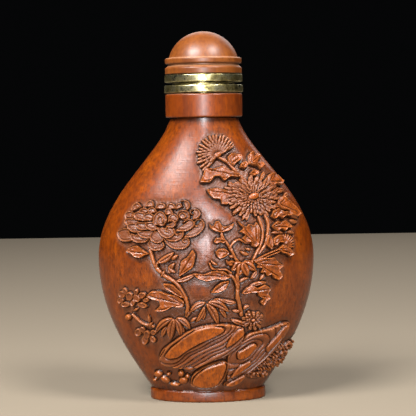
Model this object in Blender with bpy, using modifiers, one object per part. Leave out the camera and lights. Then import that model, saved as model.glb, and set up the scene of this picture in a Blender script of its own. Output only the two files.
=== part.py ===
"""A carved wooden snuff bottle with a turned collar, two brass rings and a domed wooden cap.

The bottle stands on its oval foot, centred on the origin, with +Z up. Its carved front faces -Y.
The carving is laid out on paper wrapped round the body: along the paper is the distance round the
oval from the front centre line, up the paper is the height above the table, both in squares.
"""
import math
from collections import namedtuple

import bmesh
import bpy
import numpy as np
from mathutils import Vector
from mathutils.geometry import delaunay_2d_cdt

MM = 0.001

# Body: an oval flask, widest at the belly
BODY_HEIGHT = 65.0 * MM
BELLY_HEIGHT = 33.0 * MM
BELLY_HALF_WIDTH = 25.0 * MM
BELLY_HALF_DEPTH = 14.5 * MM
SHOULDER_RADIUS = 7.9 * MM
SHOULDER_FLARE = 2.0 * MM
SHOULDER_DROP = 8.0 * MM
BELLY_RISE = 14.0 * MM
BELLY_FALL = 13.0 * MM
HEEL_FLARE = 5.4 * MM
HEEL_RISE = 8.0 * MM

# Foot: a straight oval band with a shallow recess below
FOOT_HALF_WIDTH = 13.4 * MM
FOOT_HALF_DEPTH = 8.0 * MM
FOOT_HEIGHT = 2.6 * MM
FOOT_LEDGE = 0.4 * MM
FOOT_EDGE = 0.3 * MM
FOOT_RIM = 2.4 * MM
RECESS_DEPTH = 0.8 * MM

# Hollow
WALL = 4.0 * MM
BODY_FLOOR = 6.0 * MM
MOUTH_RADIUS = 3.6 * MM
NECK_WALL_END = 1.4 * MM
CAVITY_TOP_DROP = 4.0 * MM

# Neck: a tenon inside the collar, and the brass that lines the mouth
COLLAR_RADIUS = 8.88 * MM
COLLAR_HEIGHT = 5.45 * MM
COLLAR_EDGE = 0.25 * MM
TENON_INSET = 2.58 * MM
BRASS_WALL = 1.0 * MM
SLEEVE_LENGTH = 8.0 * MM
LOWER_RING_OVERHANG = 0.22 * MM
LOWER_RING_HEIGHT = 1.65 * MM
SEAT_INSET = 1.68 * MM
SEAT_HEIGHT = 0.5 * MM
SPIGOT_INSET = 3.28 * MM
SPIGOT_HEIGHT = 6.3 * MM
BRASS_EDGE = 0.15 * MM

# Cap: its brass ring with a lining tube, and the turned wood above
UPPER_RING_OVERHANG = 0.09 * MM
UPPER_RING_HEIGHT = 1.65 * MM
LINING_WALL = 1.0 * MM
LINING_LENGTH = 4.6 * MM
BAND_HEIGHT = 1.3 * MM
CHAMFER_HEIGHT = 0.65 * MM
GROOVE_DEPTH = 0.73 * MM
GROOVE_HEIGHT = 0.3 * MM
BEAD_INSET = 0.03 * MM
BEAD_HEIGHT = 1.35 * MM
BEAD_ROUNDING = 0.35 * MM
DOME_FOOT_INSET = 0.88 * MM
DOME_HEIGHT = 6.15 * MM

# Pieces that touch keep this gap
GAP = 0.25 * MM

# Fineness
COLUMNS = 36
ROWS = 17
CAVITY_RINGS = 6
TURNED_STEPS = 30
DOME_STEPS = 5
PROFILE_POINTS = 160
ROUND_POINTS = 120
SLOPE_STEP = 0.2 * MM
WELD = 0.02 * MM

# Carving, in squares of the layout paper, which is this many squares high, foot to shoulder
PAPER_SQUARES = 65
SQUARE = BODY_HEIGHT / PAPER_SQUARES
CARVED_EDGE = 0.32
SNAP = 0.28
CLEAR_OF_CARVING = 1.1
PLAIN_MARGIN = 0.8
HIDDEN_DEPTH = 0.13
PETAL_RISE = 0.95
PETAL_BOWL = 0.43
LONG_PETAL = 1.6
LEAF_RISE = 0.85
LEAF_FULLNESS = 0.7
LEAF_LEAN = 0.8
LOBE_DEPTH = 0.28
MIDRIB_SINK = 0.35
MIDRIB_FROM = 1.4
LONG_LEAF = 4.0
FAN_HEART = 0.12
RING_STEP = 0.42
RING_NOTCH = 0.72
RING_RISE = 0.68
RING_LIFT = 0.21
RING_DISH = 0.26
EYE_SHARE = 0.19
EYE_DOME = 0.2
STEM_RISE = 0.65
ROCK_RISE = 1.0
FACET_RISE = 1.35
LUMP_RISE = 0.6
LUMP_DOME = 0.36
BACK_SHARE = 0.8

# The big bloom's scooped petals, outer ones first: place of the middle, half length, half width,
# and the way the tip points in degrees, 0 to the right and 90 up
BLOOM_PETALS = (
    (-18.9, 38.8, 2.4, 1.45, 178), (-15.3, 38.3, 2.1, 1.1, 190), (-11.1, 37.1, 1.8, 1.9, 270),
    (-6.5, 37.3, 3.0, 1.45, 5), (-2.6, 40.4, 2.5, 1.9, 30), (-2.5, 43.4, 1.3, 1.2, 20),
    (-5.0, 45.2, 1.5, 1.3, 30), (-8.8, 45.3, 1.1, 1.0, 80), (-12.8, 45.6, 1.3, 1.0, 60),
    (-16.3, 44.9, 1.4, 1.1, 125), (-17.9, 42.5, 1.5, 1.3, 170), (-16.7, 40.7, 1.9, 1.1, 195),
    (-13.2, 39.4, 2.2, 1.1, 190), (-11.4, 38.7, 1.4, 1.3, 262), (-7.2, 38.8, 2.2, 1.25, 355),
    (-4.9, 40.9, 2.2, 1.15, 15), (-5.1, 43.3, 1.4, 1.2, 40), (-7.7, 44.3, 1.1, 1.0, 75),
    (-10.8, 44.8, 1.2, 1.0, 100), (-14.2, 43.6, 1.5, 1.1, 140), (-14.4, 41.3, 1.5, 1.0, 195),
    (-8.9, 40.1, 1.8, 1.5, 350), (-7.3, 42.3, 1.5, 1.2, 35), (-12.2, 41.6, 1.5, 1.1, 205),
    (-10.2, 42.4, 1.6, 1.5, 90),
)

# Flat-rayed flowers: place of the eye, half width and half height of the outer ring, petals in
# it, number of rings
RAYED_FLOWERS = (
    (10.8, 47.1, 6.2, 4.5, 20, 2),
    (10.2, 19.3, 2.2, 2.1, 9, 1),
)

# Fans of blades from one point: the point, the first and last tip (degrees, length), number of
# blades, width of a blade
FANS = (
    (2.9, 56.6, 30, 4.2, 222, 4.6, 10, 1.25),
    (-7.4, 19.9, 165, 3.6, 335, 4.0, 6, 1.7),
    (0.1, 23.3, 195, 4.0, 350, 4.6, 5, 1.5),
    (8.0, 32.8, 215, 3.2, 330, 4.0, 4, 1.7),
    (3.5, 39.9, 30, 3.0, 152, 3.1, 3, 0.9),
    (6.4, 54.6, 35, 2.5, 112, 2.2, 3, 1.2),
)

# Leaves: where the blade starts, its tip, its width, how far its midrib bends to the left of
# the way to the tip, and the number of lobes on a side
LEAVES = (
    (7.9, 51.8, -0.9, 50.9, 2.6, -0.9, 2), (4.6, 52.8, -0.3, 53.3, 1.5, 0.0, 0),
    (9.9, 53.8, 7.9, 53.9, 1.2, 0.0, 0), (10.3, 53.3, 13.2, 56.8, 3.2, 0.0, 2),
    (11.0, 53.6, 14.8, 53.4, 1.8, 0.4, 0), (10.2, 51.8, 12.8, 52.5, 1.2, 0.0, 0),
    (6.6, 47.9, 0.4, 48.6, 2.6, 0.5, 2), (15.0, 50.0, 20.6, 49.5, 2.4, 0.8, 2),
    (17.2, 45.9, 24.1, 42.5, 2.8, 0.8, 2), (15.0, 42.0, 21.5, 41.3, 1.7, 0.5, 0),
    (15.0, 40.2, 21.0, 39.7, 1.4, 0.3, 0), (15.4, 38.6, 20.8, 37.2, 2.2, 0.3, 2),
    (15.3, 35.8, 20.6, 34.3, 2.3, 0.7, 2), (11.3, 36.4, 7.5, 41.8, 3.4, 0.4, 2),
    (14.3, 35.5, 14.1, 38.4, 1.1, 0.0, 0), (4.6, 37.5, 1.8, 37.4, 1.1, 0.0, 0),
    (5.4, 35.2, 2.2, 34.6, 1.9, 0.0, 0), (5.3, 36.6, 8.9, 37.4, 1.1, 0.4, 0),
    (11.0, 32.3, 17.6, 30.4, 3.4, 0.5, 3), (5.6, 29.8, -3.0, 29.8, 2.3, -0.2, 2),
    (4.9, 28.7, 1.1, 26.2, 1.9, 0.4, 0), (5.0, 31.2, 0.7, 32.3, 1.1, 0.4, 0),
    (7.9, 25.6, 14.7, 26.0, 2.0, 1.2, 2), (10.8, 25.4, 12.6, 22.8, 1.5, 0.0, 0),
    (9.5, 26.9, 14.0, 27.9, 1.2, 0.3, 0), (-12.9, 34.5, -18.2, 35.3, 2.0, 0.4, 2),
    (-10.9, 32.9, -7.0, 35.0, 1.6, -0.3, 0), (-6.1, 29.7, -2.4, 35.8, 2.8, -0.3, 2),
    (-6.7, 28.5, -2.2, 30.6, 1.3, -0.3, 0), (-8.4, 30.2, -7.2, 32.4, 1.2, 0.3, 0),
    (-5.1, 23.7, -9.6, 27.6, 1.9, -0.2, 0), (-5.2, 23.3, -13.4, 25.4, 2.4, 0.3, 2),
    (-5.3, 22.9, -11.7, 21.9, 1.8, 0.3, 0), (-13.2, 19.0, -13.5, 20.9, 0.8, 0.0, 0),
    (8.9, 18.2, 5.3, 19.8, 1.3, 0.0, 0),
)

# Stems: width, then the points they pass through
STEMS = (
    (0.75, ((-12.6, 35.6), (-11.3, 31.8), (-8.0, 29.1), (-5.7, 26.8), (-4.3, 23.0), (-4.5, 20.8))),
    (0.6, ((3.1, 56.0), (5.0, 55.0), (8.2, 51.6), (9.4, 50.3))),
    (0.7, ((3.5, 39.9), (3.9, 38.0), (5.8, 35.2), (7.4, 32.4))),
    (0.85, ((7.6, 32.2), (6.9, 29.6), (7.0, 26.4), (7.3, 23.4), (7.7, 20.8))),
    (0.65, ((13.6, 43.0), (14.3, 40.6), (13.6, 36.6), (12.4, 35.2))),
    (0.65, ((12.0, 42.6), (12.8, 39.0), (12.0, 35.8), (10.4, 32.6))),
    (0.55, ((11.3, 33.3), (14.0, 34.4), (16.6, 35.1))),
    (0.6, ((-17.4, 20.8), (-15.0, 18.9), (-12.2, 18.2))),
)

# Rock masses, and the raised facets cut on them
ROCK_MASSES = (
    ((-11.3, 10.8), (-9.8, 8.3), (-6.6, 8.6), (-3.2, 8.3), (0.4, 9.8), (4.4, 11.4), (7.0, 13.4),
     (8.5, 15.9), (8.3, 18.0), (5.9, 18.6), (2.6, 18.7), (-1.0, 18.3), (-4.6, 17.2), (-7.6, 14.9),
     (-10.3, 12.8)),
    ((4.2, 4.5), (8.8, 6.6), (12.2, 9.2), (15.0, 11.3), (17.6, 13.8), (19.9, 17.6), (17.9, 18.1),
     (14.2, 17.0), (9.6, 16.5), (7.4, 14.0), (4.6, 12.2), (4.4, 8.0)),
)
ROCK_FACETS = (
    ((-9.4, 11.2), (-6.7, 11.1), (-2.0, 14.3), (3.9, 17.6), (2.0, 18.4), (-1.6, 18.1),
     (-4.8, 16.6), (-8.6, 12.7)),
    ((3.7, 12.4), (6.0, 13.9), (8.2, 16.6), (7.9, 17.8), (6.7, 17.6), (4.8, 14.4)),
    ((7.2, 10.2), (8.9, 10.9), (11.3, 13.2), (10.4, 14.0), (7.1, 12.8)),
    ((11.8, 16.1), (14.2, 15.3), (17.6, 15.4), (19.3, 17.3), (15.2, 16.9)),
    ((5.4, 6.0), (9.2, 8.4), (12.4, 10.6), (14.2, 13.4), (13.4, 15.4), (11.8, 11.9), (8.6, 9.1)),
    ((-3.8, 4.5), (-3.2, 6.6), (-0.8, 8.6), (3.4, 9.9), (4.3, 9.2), (3.4, 6.4), (1.8, 4.1),
     (-1.2, 3.7)),
)

# Pebbles, buds and lumps of moss: place, half length, half height, tilt in degrees
PEBBLES = (
    (-11.7, 6.6, 1.0, 0.8, -10), (-10.0, 5.4, 1.2, 0.7, -32), (-6.1, 7.1, 0.7, 0.7, 0),
    (-5.6, 5.4, 1.0, 0.85, 0), (-4.2, 8.5, 1.2, 0.5, -5), (-7.6, 4.4, 1.2, 0.45, -8),
    (-18.8, 20.1, 0.8, 0.7, 0), (-19.7, 25.7, 1.1, 0.9, 0), (-17.9, 25.1, 1.0, 0.9, 0),
    (-16.0, 24.8, 1.1, 0.8, 0), (-20.5, 23.4, 1.0, 0.7, 0), (-17.8, 23.3, 1.2, 0.6, 0),
    (-14.8, 23.2, 1.3, 0.6, 0), (-14.3, 25.1, 1.0, 0.7, 0), (-15.8, 16.4, 1.0, 0.9, 0),
    (-14.4, 15.0, 1.2, 0.9, 0), (-13.0, 16.4, 1.0, 0.8, 0),
)
MOSS_LUMPS = 15
MOSS_START = (10.6, 6.4)
MOSS_END = (23.6, 10.6)
MOSS_SPREAD = (1.4, 2.1)
MOSS_SIZE = (1.45, 1.15)

# The plainer spray on the back, its middle on the back centre line
BACK_FLOWERS = ((0.0, 42.0, 6.4, 5.6, 14, 2),)
BACK_FANS = ((0.0, 17.0, 20, 5.2, 160, 5.2, 5, 2.0),)
BACK_LEAVES = (
    (-0.4, 32.0, -9.0, 36.0, 3.2, -0.8, 2), (0.4, 30.0, 9.0, 34.0, 3.2, 0.8, 2),
    (-0.6, 26.0, -8.6, 25.6, 2.8, 0.8, 2), (0.6, 24.0, 8.6, 24.6, 2.8, -0.8, 2),
)
BACK_STEMS = ((0.9, ((0.0, 37.0), (0.5, 31.0), (-0.3, 24.0), (0.0, 17.0))),)
BACK_ROCKS = (
    ((-9.0, 8.0), (-4.0, 6.2), (3.0, 6.0), (9.4, 7.8), (8.0, 12.0), (3.6, 15.6), (-2.0, 16.4),
     (-6.4, 13.4)),
)
BACK_FACETS = (
    ((-6.8, 9.2), (-1.6, 8.6), (2.2, 13.4), (-1.6, 14.8), (-5.0, 12.2)),
    ((0.8, 7.6), (7.4, 8.6), (6.2, 11.4), (3.6, 13.0)),
)

WOOD = (0.36, 0.11, 0.025)
CAP_WOOD = (0.5, 0.13, 0.03)
BRASS = (0.78, 0.66, 0.42)

# outline: closed polygon on the paper; rise: height of its edge; hollow: how far its middle
# sinks below that; core: how far in from the edge the middle is; spine: points along the middle
Carving = namedtuple("Carving", "outline rise hollow core spine")


def bezier(points, share):
    """Points of a cubic curve at these shares of its way."""
    first, second, third, last = np.array(points)
    share = share[:, None]
    rest = 1 - share
    return rest**3 * first + 3 * rest**2 * share * second + 3 * rest * share**2 * third + share**3 * last


def body_profile():
    """Half width against height from heel to shoulder."""
    share = np.linspace(0, 1, PROFILE_POINTS)
    heel = FOOT_HALF_WIDTH - FOOT_LEDGE
    lower = bezier(
        [(heel, FOOT_HEIGHT), (heel + HEEL_FLARE, FOOT_HEIGHT + HEEL_RISE),
         (BELLY_HALF_WIDTH, BELLY_HEIGHT - BELLY_FALL), (BELLY_HALF_WIDTH, BELLY_HEIGHT)], share)
    upper = bezier(
        [(BELLY_HALF_WIDTH, BELLY_HEIGHT), (BELLY_HALF_WIDTH, BELLY_HEIGHT + BELLY_RISE),
         (SHOULDER_RADIUS + SHOULDER_FLARE, BODY_HEIGHT - SHOULDER_DROP),
         (SHOULDER_RADIUS, BODY_HEIGHT)], share)
    return np.vstack([lower, upper[1:]])


PROFILE = body_profile()


def half_width(height):
    return np.interp(height, PROFILE[:, 1], PROFILE[:, 0])


def half_depth(height):
    """The body is as deep as its half width asks, between the belly and the nearer end."""
    width = half_width(height)
    heel_width = FOOT_HALF_WIDTH - FOOT_LEDGE
    heel_depth = FOOT_HALF_DEPTH - FOOT_LEDGE
    low = (width - heel_width) / (BELLY_HALF_WIDTH - heel_width)
    high = (width - SHOULDER_RADIUS) / (BELLY_HALF_WIDTH - SHOULDER_RADIUS)
    below = heel_depth + (BELLY_HALF_DEPTH - heel_depth) * low
    above = SHOULDER_RADIUS + (BELLY_HALF_DEPTH - SHOULDER_RADIUS) * high
    return np.where(height < BELLY_HEIGHT, below, above)


def slope_of(measure, height):
    top = np.minimum(height + SLOPE_STEP, BODY_HEIGHT)
    low = np.maximum(height - SLOPE_STEP, FOOT_HEIGHT)
    return (measure(top) - measure(low)) / (top - low)


def surface_point(angle, height, rise):
    """A point of the body's side, rise above it along the way the surface faces."""
    width, depth = half_width(height), half_depth(height)
    sine, cosine = np.sin(angle), np.cos(angle)
    facing = np.array([
        depth * sine, -width * cosine,
        -width * slope_of(half_depth, height) * cosine**2
        - depth * slope_of(half_width, height) * sine**2])
    facing /= np.linalg.norm(facing)
    return np.array([width * sine, -depth * cosine, height]) + facing * rise


def quarter_way(height):
    """Angles from the front centre line to the back's, and the way round to each in squares."""
    angles = np.linspace(0, math.pi, ROUND_POINTS + 1)
    middle = (angles[1:] + angles[:-1]) / 2
    speed = np.hypot(half_width(height) * np.cos(middle), half_depth(height) * np.sin(middle))
    way = np.concatenate([[0], np.cumsum(speed * np.diff(angles))])
    return angles, way / SQUARE


def angle_on_body(along, up):
    """The angle round the body of a place on the paper."""
    angles, way = quarter_way(up * SQUARE)
    return math.copysign(np.interp(abs(along), way, angles), along)


def place_on_paper(angle, up):
    """The place on the paper of an angle round the body."""
    angles, way = quarter_way(up * SQUARE)
    return math.copysign(np.interp(abs(angle), angles, way), angle)


def inset(outline, distance):
    """The outline moved in by this distance, corner by corner."""
    after = np.roll(outline, -1, axis=0) - outline
    after /= np.linalg.norm(after, axis=1)[:, None]
    before = np.roll(after, 1, axis=0)
    inward = np.stack([-(after + before)[:, 1], (after + before)[:, 0]], axis=1)
    size = np.linalg.norm(inward, axis=1)[:, None]
    return outline + distance * inward / np.maximum(size, 1.0)


def depth_inside(outline, places):
    """How far inside a closed outline each place lies, negative outside."""
    start, end = outline, np.roll(outline, -1, axis=0)
    edge = end - start
    offset = places[:, None, :] - start[None]
    share = np.clip((offset * edge).sum(-1) / (edge**2).sum(-1), 0, 1)
    nearest = np.linalg.norm(offset - share[..., None] * edge, axis=-1).min(1)
    across, up = places[:, 0][:, None], places[:, 1][:, None]
    spans = (start[:, 1] > up) != (end[:, 1] > up)
    run = np.where(np.abs(edge[:, 1]) < 1e-9, 1e-9, edge[:, 1])
    crossing = start[:, 0] + (up - start[:, 1]) / run * edge[:, 0]
    inside = (spans & (across < crossing)).sum(1) % 2 == 1
    return np.where(inside, nearest, -nearest)


def turned_way(degrees):
    return np.array([math.cos(math.radians(degrees)), math.sin(math.radians(degrees))])


def oval(middle, half_length, half_height, degrees, points):
    along = turned_way(degrees)
    across = np.array([-along[1], along[0]])
    turn = np.arange(points) / points * 2 * math.pi
    return (np.array(middle) + np.outer(np.cos(turn) * half_length, along)
            + np.outer(np.sin(turn) * half_height, across))


def scooped_petal(along, up, half_length, half_height, degrees):
    """A petal like a spoon: a rim that stands above its bowl."""
    points = 10 if half_length > LONG_PETAL else 8
    outline = oval((along, up), half_length, half_height, degrees, points)
    core = min(half_length, half_height)
    return Carving(outline, PETAL_RISE, PETAL_BOWL, core, [np.array([along, up])])


def blade(base, tip, width, bend, lobes, rise):
    """A leaf or petal: two sides that leave the base, swell, wave in lobes and meet at the tip."""
    base, tip = np.array(base, float), np.array(tip, float)
    run = tip - base
    length = np.linalg.norm(run)
    side = np.array([-run[1], run[0]]) / length
    points = 3 + 2 * lobes + int(length > LONG_LEAF)
    share = np.arange(1, points) / points
    middle = base + np.outer(share, run) + np.outer(4 * bend * share * (1 - share), side)
    swell = np.sin(math.pi * share**LEAF_LEAN) ** LEAF_FULLNESS
    if lobes:
        swell *= 1 - LOBE_DEPTH * np.cos(2 * math.pi * lobes * share)
    half = np.outer(swell * width / 2, side)
    outline = np.vstack([base, middle - half, tip, (middle + half)[::-1]])
    spine = [base + run * share[k] + side * 4 * bend * share[k] * (1 - share[k])
             for k in range(0, len(share), 2)] if width > MIDRIB_FROM else []
    return Carving(outline, rise, MIDRIB_SINK * rise if spine else 0.0, width / 2, spine)


def fan(along, up, first, first_length, last, last_length, count, width):
    """Blades that spread from one point."""
    blades = []
    for index in range(count):
        share = index / (count - 1)
        reach = first_length + (last_length - first_length) * share
        way = turned_way(first + (last - first) * share)
        start = np.array([along, up]) + FAN_HEART * reach * way
        blades.append(blade(start, np.array([along, up]) + reach * way, width, 0, 0, LEAF_RISE))
    return blades


def rayed_flower(along, up, half_length, half_height, petals, rings):
    """Rings of pointed petals round a small domed eye, each ring above the one outside it."""
    carvings = []
    for ring in range(rings):
        share = 1 - RING_STEP * ring
        points = np.arange(2 * (petals - 3 * ring))
        reach = np.where(points % 2 == 0, 1.0, RING_NOTCH) * share
        turn = points / len(points) * 2 * math.pi
        outline = np.stack([along + half_length * reach * np.cos(turn),
                            up + half_height * reach * np.sin(turn)], axis=1)
        core = min(half_length, half_height) * share
        carvings.append(Carving(outline, RING_RISE + RING_LIFT * ring, RING_DISH, core, []))
    eye = oval((along, up), EYE_SHARE * half_length, EYE_SHARE * half_height, 0, 7)
    carvings.append(Carving(eye, PETAL_RISE, -EYE_DOME, EYE_SHARE * half_height, [np.array([along, up])]))
    return carvings


def stem(width, points):
    """A stalk of even width along a smooth curve through these points."""
    points = np.array(points, float)
    run = np.concatenate([[0], np.cumsum(np.linalg.norm(np.diff(points, axis=0), axis=1))])
    way = np.gradient(points, run, axis=0)
    way /= np.linalg.norm(way, axis=1)[:, None]
    side = np.stack([-way[:, 1], way[:, 0]], axis=1) * width / 2
    outline = np.vstack([points - side, (points + side)[::-1]])
    return Carving(outline, STEM_RISE, 0.0, width / 2, [])


def lump(along, up, half_length, half_height, degrees):
    """A pebble, a bud or a tuft: a low dome."""
    outline = oval((along, up), half_length, half_height, degrees, 6)
    return Carving(outline, LUMP_RISE, -LUMP_DOME, min(half_length, half_height),
                   [np.array([along, up])])


def moss():
    """Lumps in three rows that climb from the rocks towards the right side."""
    lumps = []
    for index in range(MOSS_LUMPS):
        share = index / (MOSS_LUMPS - 1)
        row = index % 3 - 1
        along = MOSS_START[0] + (MOSS_END[0] - MOSS_START[0]) * share + MOSS_SPREAD[0] * row / 3
        up = MOSS_START[1] + (MOSS_END[1] - MOSS_START[1]) * share + MOSS_SPREAD[1] * row * share
        lumps.append(lump(along, up, MOSS_SIZE[0], MOSS_SIZE[1], 40 * row))
    return lumps


def flat_piece(outline, rise):
    """A cut plane with steep edges."""
    return Carving(np.array(outline, float), rise, 0.0, 1.0, [])


def front_carvings():
    """Every carving of the front, each laid over the ones before it."""
    carvings = [stem(*data) for data in STEMS]
    carvings += [blade(data[:2], data[2:4], *data[4:], LEAF_RISE) for data in LEAVES]
    for data in FANS:
        carvings += fan(*data)
    for data in RAYED_FLOWERS:
        carvings += rayed_flower(*data)
    carvings += [scooped_petal(*data) for data in BLOOM_PETALS]
    carvings += moss()
    carvings += [flat_piece(outline, ROCK_RISE) for outline in ROCK_MASSES]
    carvings += [flat_piece(outline, FACET_RISE) for outline in ROCK_FACETS]
    carvings += [lump(*data) for data in PEBBLES]
    return carvings


def back_carvings():
    """The plainer spray of the back."""
    carvings = [stem(*data) for data in BACK_STEMS]
    carvings += [blade(data[:2], data[2:4], *data[4:], LEAF_RISE) for data in BACK_LEAVES]
    for data in BACK_FANS:
        carvings += fan(*data)
    for data in BACK_FLOWERS:
        carvings += rayed_flower(*data)
    carvings += [flat_piece(outline, BACK_SHARE * ROCK_RISE) for outline in BACK_ROCKS]
    carvings += [flat_piece(outline, BACK_SHARE * FACET_RISE) for outline in BACK_FACETS]
    return carvings


def counter_clockwise(carving):
    outline = carving.outline
    after = np.roll(outline, -1, axis=0)
    turning = (outline[:, 0] * after[:, 1] - after[:, 0] * outline[:, 1]).sum()
    return carving if turning > 0 else carving._replace(outline=outline[::-1])


def carved_height(carvings, places):
    """Height of the carving above the plain body, in squares, at places on the paper."""
    height = np.zeros(len(places))
    for carving in carvings:
        low, high = carving.outline.min(0), carving.outline.max(0)
        near = np.all((places > low) & (places < high), axis=1)
        if not near.any():
            continue
        depth = depth_inside(carving.outline, places[near])
        cover = np.clip(depth / CARVED_EDGE, 0, 1)
        inner = max(carving.core - CARVED_EDGE, CARVED_EDGE)
        own = carving.rise - carving.hollow * np.clip((depth - CARVED_EDGE) / inner, 0, 1)
        height[near] += cover * (own - height[near])
    return height


def covered(carvings, places, reach):
    """Whether each place lies inside one of these carvings, or within this reach of one."""
    hidden = np.zeros(len(places), bool)
    for carving in carvings:
        low, high = carving.outline.min(0) - reach, carving.outline.max(0) + reach
        near = np.all((places > low) & (places < high), axis=1) & ~hidden
        if near.any():
            hidden[near] = depth_inside(carving.outline, places[near]) > -reach
    return hidden


def skin_layout(carvings, middle_angle):
    """Lines to cut the skin along for one side's carving: runs of (angle, height in squares)."""
    runs = []
    for index, carving in enumerate(carvings):
        closed = [carving.outline, inset(carving.outline, CARVED_EDGE)]
        for ring in closed + [np.array([point]) for point in carving.spine]:
            seen = ~covered(carvings[index + 1:], ring, -HIDDEN_DEPTH)
            placed = [(middle_angle + angle_on_body(*place), place[1]) for place in ring]
            runs.append((placed, seen))
    return runs


def skin_points(runs, sides):
    """Flat points and lines of the whole skin: its border, its plain grid and its carving."""
    stretch = (BELLY_HALF_WIDTH + BELLY_HALF_DEPTH) / 2 / SQUARE
    low, high = FOOT_HEIGHT / SQUARE, BODY_HEIGHT / SQUARE
    seam = -math.pi / 2
    room = 2 * (COLUMNS + ROWS) + COLUMNS * ROWS + sum(len(placed) for placed, _ in runs)
    points, lines = np.full((room, 2), np.inf), set()
    count = 0

    def place(angle, up):
        """The number of the point at this spot, a point already within the snap or a new one."""
        nonlocal count
        spot = np.array([angle * stretch, up])
        apart = np.hypot(*(points[:count] - spot).T)
        if count and apart.min() < SNAP:
            return int(apart.argmin())
        points[count] = spot
        count += 1
        return count - 1

    columns = [seam + 2 * math.pi * k / COLUMNS for k in range(COLUMNS + 1)]
    rows = [low + (high - low) * k / ROWS for k in range(ROWS + 1)]
    border = [(angle, low) for angle in columns] + [(columns[-1], up) for up in rows[1:]]
    border += [(angle, high) for angle in columns[-2::-1]] + [(seam, up) for up in rows[-2:0:-1]]
    loop = [place(*spot) for spot in border]
    lines.update(zip(loop, loop[1:] + loop[:1]))
    for placed, seen in runs:
        numbers = [place(*spot) if shown else None for spot, shown in zip(placed, seen)]
        if len(numbers) > 1:
            lines.update((a, b) for a, b in zip(numbers, numbers[1:] + numbers[:1])
                         if a is not None and b is not None and a != b)
    grid = [(angle, up) for angle in columns[1:-1] for up in rows[1:-1]]
    for carvings, middle in sides:
        spots = np.array([(place_on_paper(angle - middle, up), up) for angle, up in grid])
        near = covered(carvings, spots, CLEAR_OF_CARVING)
        grid = [spot for spot, close in zip(grid, near) if not close]
    for spot in grid:
        place(*spot)
    return points[:count], sorted(lines), stretch


def carved_skin(shape):
    """The outer side of the body from heel to shoulder, with its relief."""
    sides = (([counter_clockwise(item) for item in front_carvings()], 0.0),
             ([counter_clockwise(item) for item in back_carvings()], math.pi))
    runs = [run for carvings, middle in sides for run in skin_layout(carvings, middle)]
    points, lines, stretch = skin_points(runs, sides)
    flat, _, faces, *_ = delaunay_2d_cdt([Vector(point) for point in points], lines, [], 0, 0.001)
    angles = np.array([point.x / stretch for point in flat])
    ups = np.array([point.y for point in flat])
    low, high = FOOT_HEIGHT / SQUARE, BODY_HEIGHT / SQUARE
    fade = np.clip((ups - low) / PLAIN_MARGIN, 0, 1) * np.clip((high - ups) / PLAIN_MARGIN, 0, 1)
    rise = np.zeros(len(flat))
    for carvings, middle in sides:
        places = np.array([(place_on_paper(angle - middle, up), up) for angle, up in zip(angles, ups)])
        rise = np.maximum(rise, carved_height(carvings, places))
    verts = [shape.verts.new(surface_point(angle, up * SQUARE, height * SQUARE))
             for angle, up, height in zip(angles, ups, rise * fade)]
    for face in faces:
        shape.faces.new([verts[k] for k in face])


def ring_of_points(half_w, half_d, height):
    turns = [-math.pi / 2 + 2 * math.pi * k / COLUMNS for k in range(COLUMNS)]
    return [(half_w * math.sin(turn), -half_d * math.cos(turn), height) for turn in turns]


def loft(shape, rings):
    """Bands of four-sided faces between rings, and a flat face that closes the last one."""
    verts = [[shape.verts.new(point) for point in ring] for ring in rings]
    for lower, upper in zip(verts, verts[1:]):
        for k in range(COLUMNS):
            after = (k + 1) % COLUMNS
            shape.faces.new([lower[k], lower[after], upper[after], upper[k]])
    shape.faces.new(verts[-1])


def neck_levels():
    """Heights up the neck and cap that more than one piece needs."""
    collar_top = BODY_HEIGHT + GAP + COLLAR_HEIGHT
    flange = collar_top + GAP
    flange_top = flange + LOWER_RING_HEIGHT
    seat_top = flange_top + SEAT_HEIGHT
    cap_ring = seat_top + GAP
    cap_wood = cap_ring + UPPER_RING_HEIGHT + GAP
    return collar_top, flange, flange_top, seat_top, cap_ring, cap_wood


def cavity_rings():
    """Rings down the inside: tenon, the step that takes the brass sleeve, neck bore and belly."""
    collar_top, flange, *_ = neck_levels()
    tenon = COLLAR_RADIUS - TENON_INSET
    sleeve_bore = MOUTH_RADIUS + BRASS_WALL + GAP
    sleeve_end = flange - SLEEVE_LENGTH - GAP
    cavity_top = min(sleeve_end - NECK_WALL_END, BODY_HEIGHT - CAVITY_TOP_DROP)
    rings = [(tenon, tenon, BODY_HEIGHT), (tenon, tenon, collar_top),
             (sleeve_bore, sleeve_bore, collar_top), (sleeve_bore, sleeve_bore, sleeve_end),
             (MOUTH_RADIUS, MOUTH_RADIUS, sleeve_end), (MOUTH_RADIUS, MOUTH_RADIUS, cavity_top)]
    for index in range(1, CAVITY_RINGS + 1):
        turn = math.pi * index / (CAVITY_RINGS + 1)
        height = BODY_FLOOR + (cavity_top - BODY_FLOOR) * (1 + math.cos(turn)) / 2
        width = half_width(height) - WALL * math.hypot(1, slope_of(half_width, height))
        depth = half_depth(height) - WALL * math.hypot(1, slope_of(half_depth, height))
        rings.append((max(width, MOUTH_RADIUS), max(depth, MOUTH_RADIUS), height))
    last = rings[-1]
    rings.append((last[0] - WALL / 2, max(last[1] - WALL / 2, MOUTH_RADIUS / 2), BODY_FLOOR))
    return rings


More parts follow.
